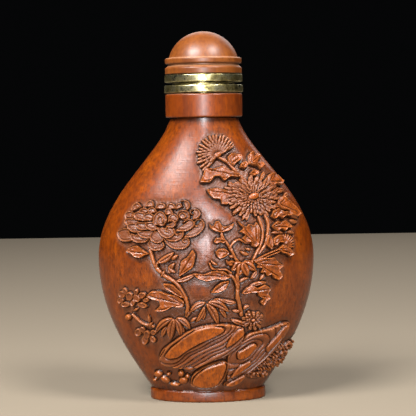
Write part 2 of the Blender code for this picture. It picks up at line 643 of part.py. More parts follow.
def foot_rings():
    """Rings from the heel over the foot's band and under it to the middle of the recess."""
    wide, deep = FOOT_HALF_WIDTH, FOOT_HALF_DEPTH
    return [(wide - FOOT_LEDGE, deep - FOOT_LEDGE, FOOT_HEIGHT),
            (wide - FOOT_EDGE / 2, deep - FOOT_EDGE / 2, FOOT_HEIGHT),
            (wide, deep, FOOT_HEIGHT - FOOT_EDGE / 2), (wide, deep, FOOT_EDGE),
            (wide - FOOT_EDGE, deep - FOOT_EDGE, 0),
            (wide - FOOT_EDGE - FOOT_RIM, deep - FOOT_EDGE - FOOT_RIM, 0),
            (wide - 2 * FOOT_EDGE - FOOT_RIM, deep - 2 * FOOT_EDGE - FOOT_RIM, RECESS_DEPTH)]


def new_object(name, mesh, material, collection):
    mesh.materials.append(material)
    piece = bpy.data.objects.new(name, mesh)
    collection.objects.link(piece)
    return piece


def make_body(material, collection):
    """Skin, foot and hollow, welded into one closed solid."""
    shape = bmesh.new()
    carved_skin(shape)
    loft(shape, [ring_of_points(*ring) for ring in foot_rings()])
    top = (SHOULDER_RADIUS, SHOULDER_RADIUS, BODY_HEIGHT)
    loft(shape, [ring_of_points(*ring) for ring in [top] + cavity_rings()])
    bmesh.ops.remove_doubles(shape, verts=shape.verts, dist=WELD)
    bmesh.ops.triangulate(shape, faces=shape.faces)
    bmesh.ops.recalc_face_normals(shape, faces=shape.faces)
    mesh = bpy.data.meshes.new("bottle_body")
    shape.to_mesh(mesh)
    shape.free()
    mesh.shade_smooth()
    mesh.set_sharp_from_angle(angle=math.radians(30))
    return new_object("bottle_body", mesh, material, collection)


def turned(name, profile, closed, material, collection):
    """A turned piece: its profile, listed down the outer side first, goes once round the axis."""
    mesh = bpy.data.meshes.new(name)
    edges = [(k, k + 1) for k in range(len(profile) - 1)]
    if closed:
        edges.append((len(profile) - 1, 0))
    mesh.from_pydata([(radius, 0, height) for radius, height in profile], edges, [])
    piece = new_object(name, mesh, material, collection)
    screw = piece.modifiers.new("Turn", "SCREW")
    screw.steps = TURNED_STEPS
    screw.render_steps = TURNED_STEPS
    screw.use_merge_vertices = True
    screw.merge_threshold = 0.00001
    screw.use_smooth_shade = False
    return piece


def make_collar(material, collection):
    bottom = BODY_HEIGHT + GAP
    top = bottom + COLLAR_HEIGHT
    bore = COLLAR_RADIUS - TENON_INSET + GAP
    profile = [(bore, top), (COLLAR_RADIUS - COLLAR_EDGE, top), (COLLAR_RADIUS, top - COLLAR_EDGE),
               (COLLAR_RADIUS, bottom + COLLAR_EDGE), (COLLAR_RADIUS - COLLAR_EDGE, bottom),
               (bore, bottom)]
    return turned("neck_collar", profile, True, material, collection)


def make_neck_ferrule(material, collection):
    """Sleeve in the neck, ring on the collar, seat for the cap and a spigot up inside it."""
    _, flange, flange_top, seat_top, *_ = neck_levels()
    sleeve = MOUTH_RADIUS + BRASS_WALL
    spigot = COLLAR_RADIUS - SPIGOT_INSET
    seat = COLLAR_RADIUS - SEAT_INSET
    top = flange_top + SPIGOT_HEIGHT
    ring = COLLAR_RADIUS + LOWER_RING_OVERHANG
    profile = [(MOUTH_RADIUS, top), (spigot - BRASS_EDGE, top), (spigot, top - BRASS_EDGE),
               (spigot, seat_top), (seat, seat_top), (seat, flange_top),
               (ring - BRASS_EDGE, flange_top), (ring, flange_top - BRASS_EDGE),
               (ring, flange + BRASS_EDGE), (ring - BRASS_EDGE, flange), (sleeve, flange),
               (sleeve, flange - SLEEVE_LENGTH), (MOUTH_RADIUS, flange - SLEEVE_LENGTH)]
    return turned("neck_ferrule", profile, True, material, collection)


def make_cap_ferrule(material, collection):
    """The cap's brass ring and the tube that lines its socket."""
    *_, bottom, _ = neck_levels()
    bore = COLLAR_RADIUS - SPIGOT_INSET + GAP
    lining = bore + LINING_WALL
    ring_top = bottom + UPPER_RING_HEIGHT
    top = ring_top + LINING_LENGTH
    ring = COLLAR_RADIUS + UPPER_RING_OVERHANG
    profile = [(bore, top), (lining, top), (lining, ring_top), (ring - BRASS_EDGE, ring_top),
               (ring, ring_top - BRASS_EDGE), (ring, bottom + BRASS_EDGE),
               (ring - BRASS_EDGE, bottom), (bore, bottom)]
    return turned("cap_ferrule", profile, True, material, collection)


def make_cap(material, collection):
    """Dome, bead, groove and band, with a blind socket below."""
    *_, bottom = neck_levels()
    band_top = bottom + BAND_HEIGHT
    groove_bottom = band_top + CHAMFER_HEIGHT
    groove_top = groove_bottom + GROOVE_HEIGHT
    bead_top = groove_top + BEAD_HEIGHT
    groove = COLLAR_RADIUS - GROOVE_DEPTH
    bead = COLLAR_RADIUS - BEAD_INSET
    socket = COLLAR_RADIUS - SPIGOT_INSET + LINING_WALL + 2 * GAP
    socket_top = bottom + LINING_LENGTH
    dome_foot = COLLAR_RADIUS - DOME_FOOT_INSET
    sphere = (dome_foot**2 + DOME_HEIGHT**2) / (2 * DOME_HEIGHT)
    reach = math.asin(dome_foot / sphere)
    if DOME_HEIGHT > sphere:
        reach = math.pi - reach
    centre = bead_top + DOME_HEIGHT - sphere
    turns = [reach * k / DOME_STEPS for k in range(DOME_STEPS + 1)]
    profile = [(sphere * math.sin(turn), centre + sphere * math.cos(turn)) for turn in turns]
    profile += [(bead - BEAD_ROUNDING, bead_top), (bead, bead_top - BEAD_ROUNDING),
                (bead, groove_top + BEAD_ROUNDING), (bead - BEAD_ROUNDING, groove_top),
                (groove, groove_top), (groove, groove_bottom), (COLLAR_RADIUS, band_top),
                (COLLAR_RADIUS, bottom), (socket, bottom), (socket, socket_top), (0, socket_top)]
    return turned("cap", profile, False, material, collection)


def plain_material(name, colour, roughness, metallic):
    material = bpy.data.materials.new(name)
    material.use_nodes = True
    shader = material.node_tree.nodes["Principled BSDF"]
    shader.inputs["Base Color"].default_value = (*colour, 1)
    shader.inputs["Roughness"].default_value = roughness
    shader.inputs["Metallic"].default_value = metallic
    return material


def main():
    for old in list(bpy.data.objects):
        bpy.data.objects.remove(old, do_unlink=True)
    bottle = bpy.data.collections.new("snuff_bottle")
    bpy.context.scene.collection.children.link(bottle)
    make_body(plain_material("waxed carved wood", WOOD, 0.4, 0), bottle)
    make_collar(plain_material("turned wood collar", WOOD, 0.35, 0), bottle)
    make_neck_ferrule(plain_material("brass of the neck", BRASS, 0.3, 1), bottle)
    make_cap_ferrule(plain_material("brass of the cap", BRASS, 0.3, 1), bottle)
    make_cap(plain_material("polished wood cap", CAP_WOOD, 0.25, 0), bottle)


main()
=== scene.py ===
"""Looks for a carved boxwood snuff bottle: fine carving with painted shade and highlights, waxed and
worn wood, and tarnished brass rings.

The carving is laid out on paper wrapped round the body: along the paper is the distance round the
oval from the front centre line, up the paper is the height above the table, both in millimetres.
"""

import math

import bpy
import numpy as np
from mathutils import Matrix, Vector


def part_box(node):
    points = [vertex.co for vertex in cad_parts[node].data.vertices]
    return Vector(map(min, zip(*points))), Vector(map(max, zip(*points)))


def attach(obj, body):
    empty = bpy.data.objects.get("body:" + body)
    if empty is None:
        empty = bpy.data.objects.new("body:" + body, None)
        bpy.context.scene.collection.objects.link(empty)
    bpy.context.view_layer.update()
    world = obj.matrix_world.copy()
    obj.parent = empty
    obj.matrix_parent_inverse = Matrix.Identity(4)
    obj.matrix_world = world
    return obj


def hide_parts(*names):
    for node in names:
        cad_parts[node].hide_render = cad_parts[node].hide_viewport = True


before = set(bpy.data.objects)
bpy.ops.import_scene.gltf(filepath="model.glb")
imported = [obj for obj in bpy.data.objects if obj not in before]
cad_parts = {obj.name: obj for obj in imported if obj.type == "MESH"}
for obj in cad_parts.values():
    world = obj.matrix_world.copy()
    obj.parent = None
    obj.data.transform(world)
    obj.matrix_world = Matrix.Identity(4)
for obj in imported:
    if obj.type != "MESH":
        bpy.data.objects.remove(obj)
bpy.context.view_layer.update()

MM = 0.001

# Body, in millimetres, as the carver drew it
BODY_HEIGHT = 65.0
BELLY_HEIGHT = 33.0
BELLY_HALF_WIDTH = 25.0
BELLY_HALF_DEPTH = 14.5
SHOULDER_RADIUS = 7.9
SHOULDER_FLARE = 2.0
SHOULDER_DROP = 8.0
BELLY_RISE = 14.0
BELLY_FALL = 13.0
HEEL_FLARE = 5.4
HEEL_RISE = 8.0
FOOT_HALF_WIDTH = 13.4
FOOT_HALF_DEPTH = 8.0
FOOT_HEIGHT = 2.6
FOOT_LEDGE = 0.4
LEDGE_DROP = 0.1
LEDGE_LAP = 0.06
FOOT_ROUNDING = 0.3
FOOT_RIM = 2.4
RECESS_EDGE = 0.1
RECESS_DEPTH = 0.8
BAND_RINGS = (2.0, 1.6, 1.2, 0.8, 0.5)

# Inside of the body, in millimetres
WALL = 4.0
BODY_FLOOR = 6.0
MOUTH_RADIUS = 3.6
TENON_RADIUS = 6.3
SLEEVE_END = 62.7
CAVITY_TOP = 61.0
CAVITY_RINGS = 15
SLOPE_STEP = 0.1

# Brass and sockets in the neck and cap, in millimetres, and the gap between pieces that touch
GAP = 0.25
SLEEVE_RADIUS = 4.6
SEAT_RADIUS = 7.2
SEAT_HEIGHT = 0.5
SPIGOT_RADIUS = 5.6
LINING_RADIUS = 6.85
SOCKET_DEPTH = 4.6

# Outer side of the collar and the cap, in millimetres
COLLAR_CHAMFER = 0.3
COLLAR_UNDERCUT = 0.22
UNDERCUT_HEIGHT = 0.2
FLANGE_TAPER = 0.05
BAND_HEIGHT = 1.3
CHAMFER_HEIGHT = 0.65
GROOVE_HEIGHT = 0.3
GROOVE_RADIUS = 8.15
BEAD_HEIGHT = 1.35
BEAD_RADIUS = 8.85
DOME_FOOT_RADIUS = 8.0
DOME_RINGS = 40
LATHE_STEPS = 144

# How closely the body's outline and skin are sampled, and the share of the faces kept in thinning
PROFILE_STEPS = 200
ROUND_STEPS = 1081
ROW_STEP = 0.135
FRONT_FROM = math.radians(-74)
FRONT_TO = math.radians(98)
FRONT_COLUMNS = 470
BACK_COLUMNS = 170
KEPT_SHARE = 0.30

# Cuts, in millimetres: the slope at a form's edge, how far in its top rounds off, the trench round
# it, the strips left plain at heel and shoulder, and the dug ground's reach, depth and tool marks
EDGE = 0.16
ROUNDING_REACH = 0.5
TRENCH_WIDTH = 0.16
PLAIN_MARGIN = 0.8
GROUND_REACH = 1.0
GROUND_SUNK = 0.14
TOOL_MARKS = 0.03

# Petals and leaves, in millimetres: rolled rims, bowls and dishes, and lobes along a leaf's ribs
RIM_WIDTH = 0.28
RIM_RISE = 0.1
BOWL_DEPTH = 0.2
STRIP_DISH = 0.12
LOBE_RISE = 0.5
THINNEST = 0.05

# Shares: a lobe's half width of its rib, and where on a strip petal the tip starts to round
LOBE_WIDTH = 0.5
STRIP_SHOULDER = 0.6

# The way a rock's layers run, and how much shorter they are taken to be along it
ROCK_RUN = (0.82, 0.57)
ROCK_SQUEEZE = 0.42

# Farther than any spot near a form lies from it, in millimetres
FAR = 99.0

# How many samples away the height is averaged, to find corners for painted shade and edges for a
# painted highlight, and how far the painted shade and grime round the carving reach
FINE_REACH = 1
BROAD_REACH = 4
SHADE_AND_GRIME_REACH = 11

# How strongly dips count as corners by the near and the wider average, the least that counts, and
# how far painted shade and grime lie up from the heel and down from the shoulder, in millimetres
FINE_WEIGHT = 4.0
BROAD_WEIGHT = 0.7
LEAST_DIP = 0.05
HEEL_SHADE_AND_GRIME = 0.9
SHOULDER_SHADE_AND_GRIME = 1.1

# Bends sharper than these are shaded as edges, on the carving and on turned pieces
BODY_SHARP = math.radians(50)
LATHE_SHARP = math.radians(35)

# Cells to the millimetre in each pattern. Real fibres, pores, scratches and turning lines are finer
# than a pixel of the picture, about a quarter of a millimetre, so these are drawn coarser, as coarse as
# they need to show
FIBRES_PER_MM = 2.2
FIGURE_PER_MM = 0.16
PORES_PER_MM = 3.4
CLOUDS_PER_MM = 1.1
SANDING_PER_MM = 5.0
TURNING_PER_MM = 5.0
GRIT_PER_MM = 3.2
TARNISH_PER_MM = 0.45
SPECKS_PER_MM = 3.0
SCRATCHES_PER_MM = 6.0

# Shares that draw a pattern out sideways, for marks that run round a piece, and how wax bends light
ROUND_THE_BODY = (0.05, 0.05, 1)
ROUND_THE_LATHE = (0.001, 0.001, 1)
WAX_IOR = 1.45

# The camera of the photograph: a long lens at the height of the shoulder, tilted down a little
IMAGE_SIZE = 416
FOCAL_PIXELS = 1500
CAMERA_BACK = 348.0
CAMERA_UP = 65.0
TILT = math.radians(3.47)
LEAN = math.radians(0.85)
OFF_CENTRE = (2.6, 1.2)

# Floor from left to right and from front to back, and lamps by place, size, power and colour, in
# metres and watts; the lamps are turned to the middle of the bottle
FLOOR_EDGES = (-1, 1, -0.5, 0.48)
LAMP_AIM = (0, 0, 0.045)
DAYLIGHT = (1.0, 0.98, 0.97)
SKYLIGHT = (0.94, 0.96, 1.0)
ROOM_COLOUR = (0.85, 0.92, 1.0, 1)
ROOM_STRENGTH = 0.002
LAMPS = (
    ("left_window", (-0.2, -0.24, 0.41), (0.2, 0.15), 6.4, DAYLIGHT),
    ("right_window", (0.2, -0.2, 0.42), (0.14, 0.12), 3.4, DAYLIGHT),
    ("front_box", (-0.01, -0.62, 0.15), (0.08, 0.18), 4.6, SKYLIGHT),
    ("back_window", (0.1, 0.46, 0.36), (0.5, 0.3), 0.9, DAYLIGHT),
)


def half_sizes(height):
    """Half width and half depth of the oval body at these heights."""
    share = np.linspace(0, 1, PROFILE_STEPS)[:, None]
    rest = 1 - share

    def curve(first, second, third, last):
        points = [np.array(point) for point in (first, second, third, last)]
        return (rest**3 * points[0] + 3 * rest**2 * share * points[1]
                + 3 * rest * share**2 * points[2] + share**3 * points[3])

    heel = FOOT_HALF_WIDTH - FOOT_LEDGE
    lower = curve((heel, FOOT_HEIGHT), (heel + HEEL_FLARE, FOOT_HEIGHT + HEEL_RISE),
                  (BELLY_HALF_WIDTH, BELLY_HEIGHT - BELLY_FALL), (BELLY_HALF_WIDTH, BELLY_HEIGHT))
    upper = curve((BELLY_HALF_WIDTH, BELLY_HEIGHT), (BELLY_HALF_WIDTH, BELLY_HEIGHT + BELLY_RISE),
                  (SHOULDER_RADIUS + SHOULDER_FLARE, BODY_HEIGHT - SHOULDER_DROP),
                  (SHOULDER_RADIUS, BODY_HEIGHT))
    profile = np.vstack([lower, upper[1:]])
    width = np.interp(height, profile[:, 1], profile[:, 0])
    heel_depth = FOOT_HALF_DEPTH - FOOT_LEDGE
    low = (width - heel) / (BELLY_HALF_WIDTH - heel)
    high = (width - SHOULDER_RADIUS) / (BELLY_HALF_WIDTH - SHOULDER_RADIUS)
    depth = np.where(height < BELLY_HEIGHT, heel_depth + (BELLY_HALF_DEPTH - heel_depth) * low,
                     SHOULDER_RADIUS + (BELLY_HALF_DEPTH - SHOULDER_RADIUS) * high)
    return width, depth


def smooth(value):
    """A share from 0 to 1, eased at both ends."""
    value = np.clip(value, 0, 1)
    return value * value * (3 - 2 * value)


def bump(value, width):
    """1 where the value is nothing, fading away over this width."""
    return np.exp(-(value / width) ** 2)


def round_top(share):
    """Height of a round top, by the share of the way from its middle to its edge."""
    return np.sqrt(np.clip(1 - share**2, 0, 1))


def way(degrees):
    """A step of one millimetre in this direction."""
    return np.array([math.cos(math.radians(degrees)), math.sin(math.radians(degrees))])


def soften(field, reach):
    """The field averaged over this many samples either way, three times over."""
    span = 2 * reach + 1
    for _ in range(3):
        for axis, size in enumerate(field.shape):
            margins = [(reach + 1, reach) if k == axis else (0, 0) for k in (0, 1)]
            total = np.cumsum(np.pad(field, margins, "edge"), axis=axis)
            field = (np.take(total, range(span, span + size), axis)
                     - np.take(total, range(size), axis)) / span
    return field


class Relief:
    """Heights over the paper, laid down cut by cut, and how covered and polished each spot is."""

    def __init__(self, along, up):
        self.along, self.up = along.ravel(), up.ravel()
        self.height = np.zeros(self.along.size)
        self.cover = np.zeros(self.along.size)
        self.polish = np.zeros(self.along.size)

    def near(self, low, high):
        """Numbers of the spots in this box on the paper."""
        return np.flatnonzero((self.along > low[0]) & (self.along < high[0])
                              & (self.up > low[1]) & (self.up < high[1]))

    def around(self, points, margin):
        """Numbers of the spots in the box round these points, and their places."""
        spots = self.near(points.min(0) - margin, points.max(0) + margin)
        return spots, np.stack([self.along[spots], self.up[spots]], axis=1)

    def measured(self, spots, start, run):
        """How far the spots lie from a start, along a run and aside from it, in lengths of the run."""
        x, y = self.along[spots] - start[0], self.up[spots] - start[1]
        return x * run[0] + y * run[1], -x * run[1] + y * run[0]

    def lay(self, spots, inside, own, edge=EDGE, trench=0.12, polish=0.0, rounding=0.0):
        """Lays a form over what is there: its own height inside, rounded off towards its edge, and a
        fine trench just outside."""
        cover = smooth(inside / edge + 0.5)
        own = own - rounding * (1 - smooth(inside / ROUNDING_REACH)) ** 2
        ditch = trench * bump(np.minimum(inside + 0.5 * edge, 0), TRENCH_WIDTH) * (1 - cover)
        height = self.height[spots]
        self.height[spots] = height + cover * (own - height) - ditch
        self.cover[spots] = np.maximum(self.cover[spots], cover)
        self.polish[spots] += cover * (polish - self.polish[spots])


def smooth_route(points, steps=6):
    """A smooth curve read through given points."""
    points = np.array(points, float)
    before = np.vstack([2 * points[0] - points[1], points[:-1]])
    after = np.vstack([points[1:], 2 * points[-1] - points[-2]])
    slope = (after - before) / 2
    route = []
    for k in range(len(points) - 1):
        for share in np.arange(steps) / steps:
            route.append((2 * share**3 - 3 * share**2 + 1) * points[k]
                         + (share**3 - 2 * share**2 + share) * slope[k]
                         + (3 * share**2 - 2 * share**3) * points[k + 1]
                         + (share**3 - share**2) * slope[k + 1])
    return np.array(route + [points[-1]])


def rounded_outline(points, easing=0.35, steps=5):
    """A closed outline with its corners eased, through given points."""
    points = np.array(points, float)
    outline = []
    for before, corner, after in zip(np.roll(points, 1, 0), points, np.roll(points, -1, 0)):
        start, end = corner + easing * (before - corner), corner + easing * (after - corner)
        for share in np.linspace(0, 1, steps):
            outline.append((1 - share) ** 2 * start + 2 * share * (1 - share) * corner + share**2 * end)
    return np.array(outline)


def distance_to(route, place):
    """How far each place lies from a line of points, how far along it that is, and its length."""
    nearest = np.full(len(place), FAR)
    where = np.zeros(len(place))
    gone = 0.0
    for start, end in zip(route, route[1:]):
        edge = end - start
        size = float(np.hypot(*edge))
        share = np.clip(((place - start) @ edge) / size**2, 0, 1)
        away = np.hypot(*(place - start - share[:, None] * edge).T)
        closer = away < nearest
        nearest[closer] = away[closer]
        where[closer] = gone + share[closer] * size
        gone += size
    return nearest, where, gone


def depth_inside(outline, place):
    """How far inside a closed outline each place lies, negative outside."""
    nearest = np.full(len(place), FAR)
    crossings = np.zeros(len(place), int)
    for (x0, y0), (x1, y1) in zip(outline, np.roll(outline, -1, axis=0)):
        edge = np.array([x1 - x0, y1 - y0])
        share = np.clip(((place - (x0, y0)) @ edge) / (edge @ edge), 0, 1)
        nearest = np.minimum(nearest, np.hypot(*(place - (x0, y0) - share[:, None] * edge).T))
        if y0 != y1:
            spans = (y0 > place[:, 1]) != (y1 > place[:, 1])
            crossings += spans & (place[:, 0] < x0 + (place[:, 1] - y0) / (y1 - y0) * (x1 - x0))
    return np.where(crossings % 2 == 1, nearest, -nearest)


def to_side_vein(forward, beside, lean, spacing):
    """How far each place is from the nearest side vein, which leans forward off the midrib."""
    slant = (forward - lean * beside) / spacing
    return np.abs(slant - np.round(slant)) * spacing


def rolled_petal(relief, hook, path, level):
    """A scooped petal: a bowl, and a thin rolled rim along its path that may hook in at the tip."""
    bowl = smooth_route(path[:len(path) - hook])
    spots, place = relief.around(bowl, 0.7)
    inside = depth_inside(bowl, place)
    to_rim, where, length = distance_to(smooth_route(path), place)
    own = level - BOWL_DEPTH * bump(np.maximum(inside - 0.45, 0), 0.9) * smooth(inside / 0.3)
    own += 0.1 * bump(to_rim - 0.6, 0.11)
    relief.lay(spots, inside, own, trench=0.1)
    ends = smooth(where / 0.8 + 0.35) * smooth((length - where) / 0.6 + 0.45)
    half = RIM_WIDTH / 2 * ends
    rim = level + RIM_RISE * round_top(to_rim / np.maximum(half, THINNEST))
    relief.lay(spots, half - to_rim, rim, edge=0.14, trench=0.09)


def petal_cup(relief, along, up, half_length, half_height, degrees, level=0.4):
    """A small petal with its tip rolled up: a low oval with a rim towards its tip."""
    reach = max(half_length, half_height) + 0.5
    spots = relief.near((along - reach, up - reach), (along + reach, up + reach))
    forward, aside = relief.measured(spots, (along, up), way(degrees))
    size = min(half_length, half_height)
    inside = (1 - np.hypot(forward / half_length, aside / half_height)) * size
    rim = 0.26 * bump(inside - 0.14, 0.14) * smooth(0.5 + 0.8 * forward / half_length)
    heart = 0.12 * bump(forward, 0.5) * bump(aside, 0.3)
    own = level + rim - 0.16 * smooth(inside / (0.8 * size)) + heart
    relief.lay(spots, inside, own, trench=0.14, polish=0.2)


def strip_petal(relief, base, tip, width, level, lift):
    """A narrow petal that widens to a blunt tip and lifts towards it, dished where it is wide."""
    base, tip = np.array(base, float), np.array(tip, float)
    spots = relief.near(np.minimum(base, tip) - width, np.maximum(base, tip) + width)
    run = tip - base
    length = float(np.hypot(*run))
    forward, aside = relief.measured(spots, base, run)
    share, beside = forward / length**2, np.abs(aside / length)
    on_petal = (share > -0.05) & (share < 1)
    tip_share = np.clip((share - STRIP_SHOULDER) / (1 - STRIP_SHOULDER), 0, 1)
    swell = np.clip(share, 0, 1) ** 0.35 * round_top(tip_share)
    half = width / 2 * (0.3 + 0.7 * swell) * on_petal
    inside = np.where(on_petal & (half > THINNEST), np.minimum(half - beside, (1 - share) * length), -1.0)
    across = np.clip(beside / np.maximum(half, THINNEST), 0, 1)
    dish = STRIP_DISH * bump(beside, 0.1) * (width > 0.8)
    own = level + lift * smooth(share) + 0.16 * (1 - across**2) - dish
    relief.lay(spots, inside, own, edge=0.12, trench=0.10)


def leaf(relief, base, tip, width, bend=0.0, lobes=0, level=0.42, veins=True, polish=0.3):
    """A leaf: two pillowed halves, a sunk midrib, slanting veins and lobed or plain edges."""
    base, tip = np.array(base, float), np.array(tip, float)
    run = tip - base
    length = float(np.hypot(*run))
    margin = width / 2 + abs(bend) + 0.5
    spots = relief.near(np.minimum(base, tip) - margin, np.maximum(base, tip) + margin)
    forward, aside = relief.measured(spots, base, run)
    share = forward / length**2
    kept = np.clip(share, 0, 1)
    aside = aside / length - 4 * bend * kept * (1 - kept)
    beside = np.abs(aside)
    swell = np.sin(math.pi * kept**0.8) ** 0.7
    if lobes:
        uneven = np.where(aside > 0, 0.12, 0.0)
        swell = swell * (1 - 0.34 * np.cos(2 * math.pi * lobes * (kept + uneven)))
    half = width / 2 * swell
    inside = np.where((share > 0) & (share < 1), half - beside, -beside - 0.2)
    across = np.clip(beside / np.maximum(half, THINNEST), 0, 1)
    pillow = 0.26 * round_top(2 * across - 0.9) * min(1, width / 1.8)
    tilt = 0.16 * np.sin(2.2 * kept * math.pi + base[0] + base[1]) * np.sign(aside) * across
    own = level + pillow + tilt * min(1, width / 2) + 0.1 * kept
    if width > 1.0:
        own -= 0.17 * bump(beside, 0.12) * smooth(kept * 5)
    if veins and width > 1.7:
        apart = to_side_vein(kept * length, beside, lean=0.8, spacing=0.82)
        own -= 0.09 * bump(apart, 0.11) * smooth(across * 3) * smooth((1 - across) * 4)
    relief.lay(spots, inside, own, trench=0.12, polish=polish, rounding=0.25)


def drawn_leaf(relief, outline, heart, tips, level=0.35, polish=0.6):
    """A leaf of free shape: a bulging lobe along each rib from its heart to a tip, folds between the
    lobes, a fine sunk vein along each with side veins off it, and a raised rim."""
    outline = rounded_outline(outline, easing=0.2)
    spots, place = relief.around(outline, 0.6)
    inside = depth_inside(outline, place)
    lobes = np.zeros(len(place))
    veins = np.zeros(len(place))
    spread = LOBE_WIDTH / len(tips) ** 0.7
    for tip in tips:
        rib = np.array([heart, tip], float)
        to_rib, where, length = distance_to(rib, place)
        share = where / length
        half = spread * length * (0.35 + 1.3 * share * (1.35 - share)) + 0.15
        lobes = np.maximum(lobes, round_top(to_rib / half) * (0.8 + 0.2 * share))
        run = (rib[1] - rib[0]) / length
        beside = np.abs((place - rib[0]) @ np.array([-run[1], run[0]]))
        apart = to_side_vein((place - rib[0]) @ run, beside, lean=0.9, spacing=0.8)
        side_veins = 0.06 * bump(apart, 0.12) * smooth((beside - 0.15) * 4) * smooth((1.2 - beside) * 3)
        veins = np.maximum(veins, 0.3 * bump(to_rib, 0.12) * smooth((length - where) / 1.2) + side_veins)
    own = level + LOBE_RISE * lobes - veins * smooth(inside / 0.25)
    own += 0.1 * np.sin(1.9 * place[:, 0] + 1.1) * np.sin(1.7 * place[:, 1])
    own += 0.2 * bump(inside - 0.16, 0.12)
    relief.lay(spots, inside, own, trench=0.14, polish=0.1 + polish * lobes)


def stem(relief, width, points, level=0.5, knots=0.25, knot_spacing=3.1):
    """A round stalk along a smooth curve through these points, thicker at its knots."""
    route = smooth_route(points)
    spots, place = relief.around(route, width + 0.4)
    nearest, where, _ = distance_to(route, place)
    half = width / 2 * (1 + knots * bump((where % knot_spacing) - 1.5, 0.35))
    own = level - 0.15 + 0.3 * round_top(nearest / half)
    relief.lay(spots, half - nearest, own, trench=0.16, polish=0.5)


def rock(relief, outline, core, facets, spacing=0.78, level=0.85, facet_level=1.15):
    """A rock mass: layers that run round a core facet like drawn-out contours, and flat cut facets."""
    outline = rounded_outline(outline)
    spots, place = relief.around(outline, 0.6)
    inside = depth_inside(outline, place)
    layer_axes = np.array([ROCK_RUN, (-ROCK_RUN[1], ROCK_RUN[0])])
    squeeze = np.array([ROCK_SQUEEZE, 1.0])
    drawn_out = depth_inside(rounded_outline(core) @ layer_axes.T * squeeze,
                             place @ layer_axes.T * squeeze)
    band = np.maximum(-drawn_out, 0) / spacing
    band += 0.14 * np.sin(place[:, 0] * 1.1 + 0.7) + 0.12 * np.sin(place[:, 1] * 1.7)
    layer = np.floor(band)
    to_line = np.minimum(band - layer, 1 - band + layer) * spacing
    tilt = (band - layer - 0.5) * 0.16
    own = level + tilt - 0.3 * bump(to_line, 0.12) + 0.09 * np.sin(2.6 * layer + outline[0][0])
    facet_depth = np.full(len(place), -FAR)
    for facet in (core, *facets):
        depth = depth_inside(rounded_outline(facet), place)
        plane = facet_level + 0.05 * bump(depth - 0.2, 0.16) - 0.12 * bump(depth, 0.12)
        plane += 0.02 * np.sin(5.0 * place[:, 0] + np.sin(place[:, 1]))
        own = own + (plane - own) * smooth(depth / 0.14 + 0.5)
        own -= 0.22 * bump(depth + 0.17, 0.12) * (depth < 0.1)
        facet_depth = np.maximum(facet_depth, depth)
    polish = 0.25 + 0.75 * smooth(facet_depth / 0.3)
    relief.lay(spots, inside, own, edge=0.26, trench=0.2, polish=polish)


def pebble(relief, along, up, half_length, half_height, degrees, level=0.15, rise=0.7, polish=0.8):
    """A domed oval: a pebble, a bud, a flower's eye or a tuft."""
    reach = max(half_length, half_height) + 0.4
    spots = relief.near((along - reach, up - reach), (along + reach, up + reach))
    forward, aside = relief.measured(spots, (along, up), way(degrees))
    share = np.hypot(forward / half_length, aside / half_height)
    own = level + rise * np.sqrt(np.clip(1.02 - share**2, 0, 1)) ** 0.8
    relief.lay(spots, (1 - share) * min(half_length, half_height), own, trench=0.18, polish=polish)


def fan_of_leaves(relief, along, up, first, first_length, last, last_length, count, width, level=0.45):
    """Leaves that spread from one point, the outer ones laid first."""
    heart = np.array([along, up])
    for k in sorted(range(count), key=lambda k: -abs(k - (count - 1) / 2)):
        share = k / (count - 1)
        turn = way(first + (last - first) * share)
        reach = first_length + (last_length - first_length) * share
        leaf(relief, heart + 0.05 * reach * turn, heart + reach * turn, width, bend=0.12 * (share - 0.5),
             level=level + 0.12 * (1 - abs(2 * share - 1)), veins=False, polish=0.6)


def rayed_flower(relief, along, up, half_length, half_height, petals, rings, dice, level=0.3):
    """A flat flower: rings of strip petals, the outer ones first, round a small eye."""
    heart = np.array([along, up])
    for ring in range(rings):
        share = 1 - ring / (rings + 0.8)
        count = max(7, petals - 2 * ring)
        width = 0.72 * 2 * math.pi * math.sqrt(half_length * half_height) * share / count
        for k in range(count):
            turn = 360 * (k + 0.5 * (ring % 2)) / count + dice.uniform(-6, 6)
            reach = share * dice.uniform(0.8, 1.06)
            out = way(turn) * (half_length, half_height)
            strip_petal(relief, heart + 0.3 * share * out, heart + out * reach, max(width, 0.4),
                        level + 0.08 * ring, lift=0.26 + dice.uniform(-0.1, 0.1))
    pebble(relief, along, up, 0.17 * half_length, 0.14 * half_height, 12, level + 0.1 * rings, 0.35)


def side_flower(relief, along, up, first, last, lengths, count, dice):
    """A flower seen from the side: three layers of strip petals that rise out of a small cup."""
    heart = np.array([along, up])
    for layer, (scale, crowd) in enumerate(((1.0, 1.0), (0.76, 0.86), (0.52, 0.7))):
        number = int(count * crowd)
        for k in range(number):
            share = (k + 0.5 * (layer % 2)) / number
            turn = way(first + (last - first) * share + dice.uniform(-2, 2))
            reach = np.interp(share, (0, 0.5, 1), lengths) * scale * dice.uniform(0.93, 1.05)
            strip_petal(relief, heart + 0.35 * turn, heart + reach * turn, 0.72, 0.34 + 0.16 * layer,
                        lift=0.3)
    pebble(relief, along, up, 0.85, 0.6, 25, 0.5, 0.45, 0.6)


def moss_bank(relief, corners, grain, dice):
    """A bank of small rounded tufts inside an outline."""
    outline = rounded_outline(corners)
    spots, place = relief.around(outline, 0.5)
    swells = 0.2 + 0.15 * np.sin(place[:, 0] * 1.1) * np.cos(place[:, 1] * 1.6)
    relief.lay(spots, depth_inside(outline, place), swells, edge=0.5, trench=0.1)
    low, high = outline.min(0), outline.max(0)
    tufts = []
    for column in np.arange(low[0], high[0], grain):
        for row in np.arange(low[1], high[1], grain):
            spot = np.array([column, row]) + dice.uniform(-0.38, 0.38, 2) * grain
            if depth_inside(outline, spot[None])[0] > 0.1:
                tufts.append((spot, dice.uniform(0.3, 0.6) * grain, dice.uniform(0.1, 0.7)))
    for spot, radius, level in tufts:
        pebble(relief, *spot, radius * 1.3, radius * 0.85, dice.uniform(0, 180), level, 0.4, 0.3)


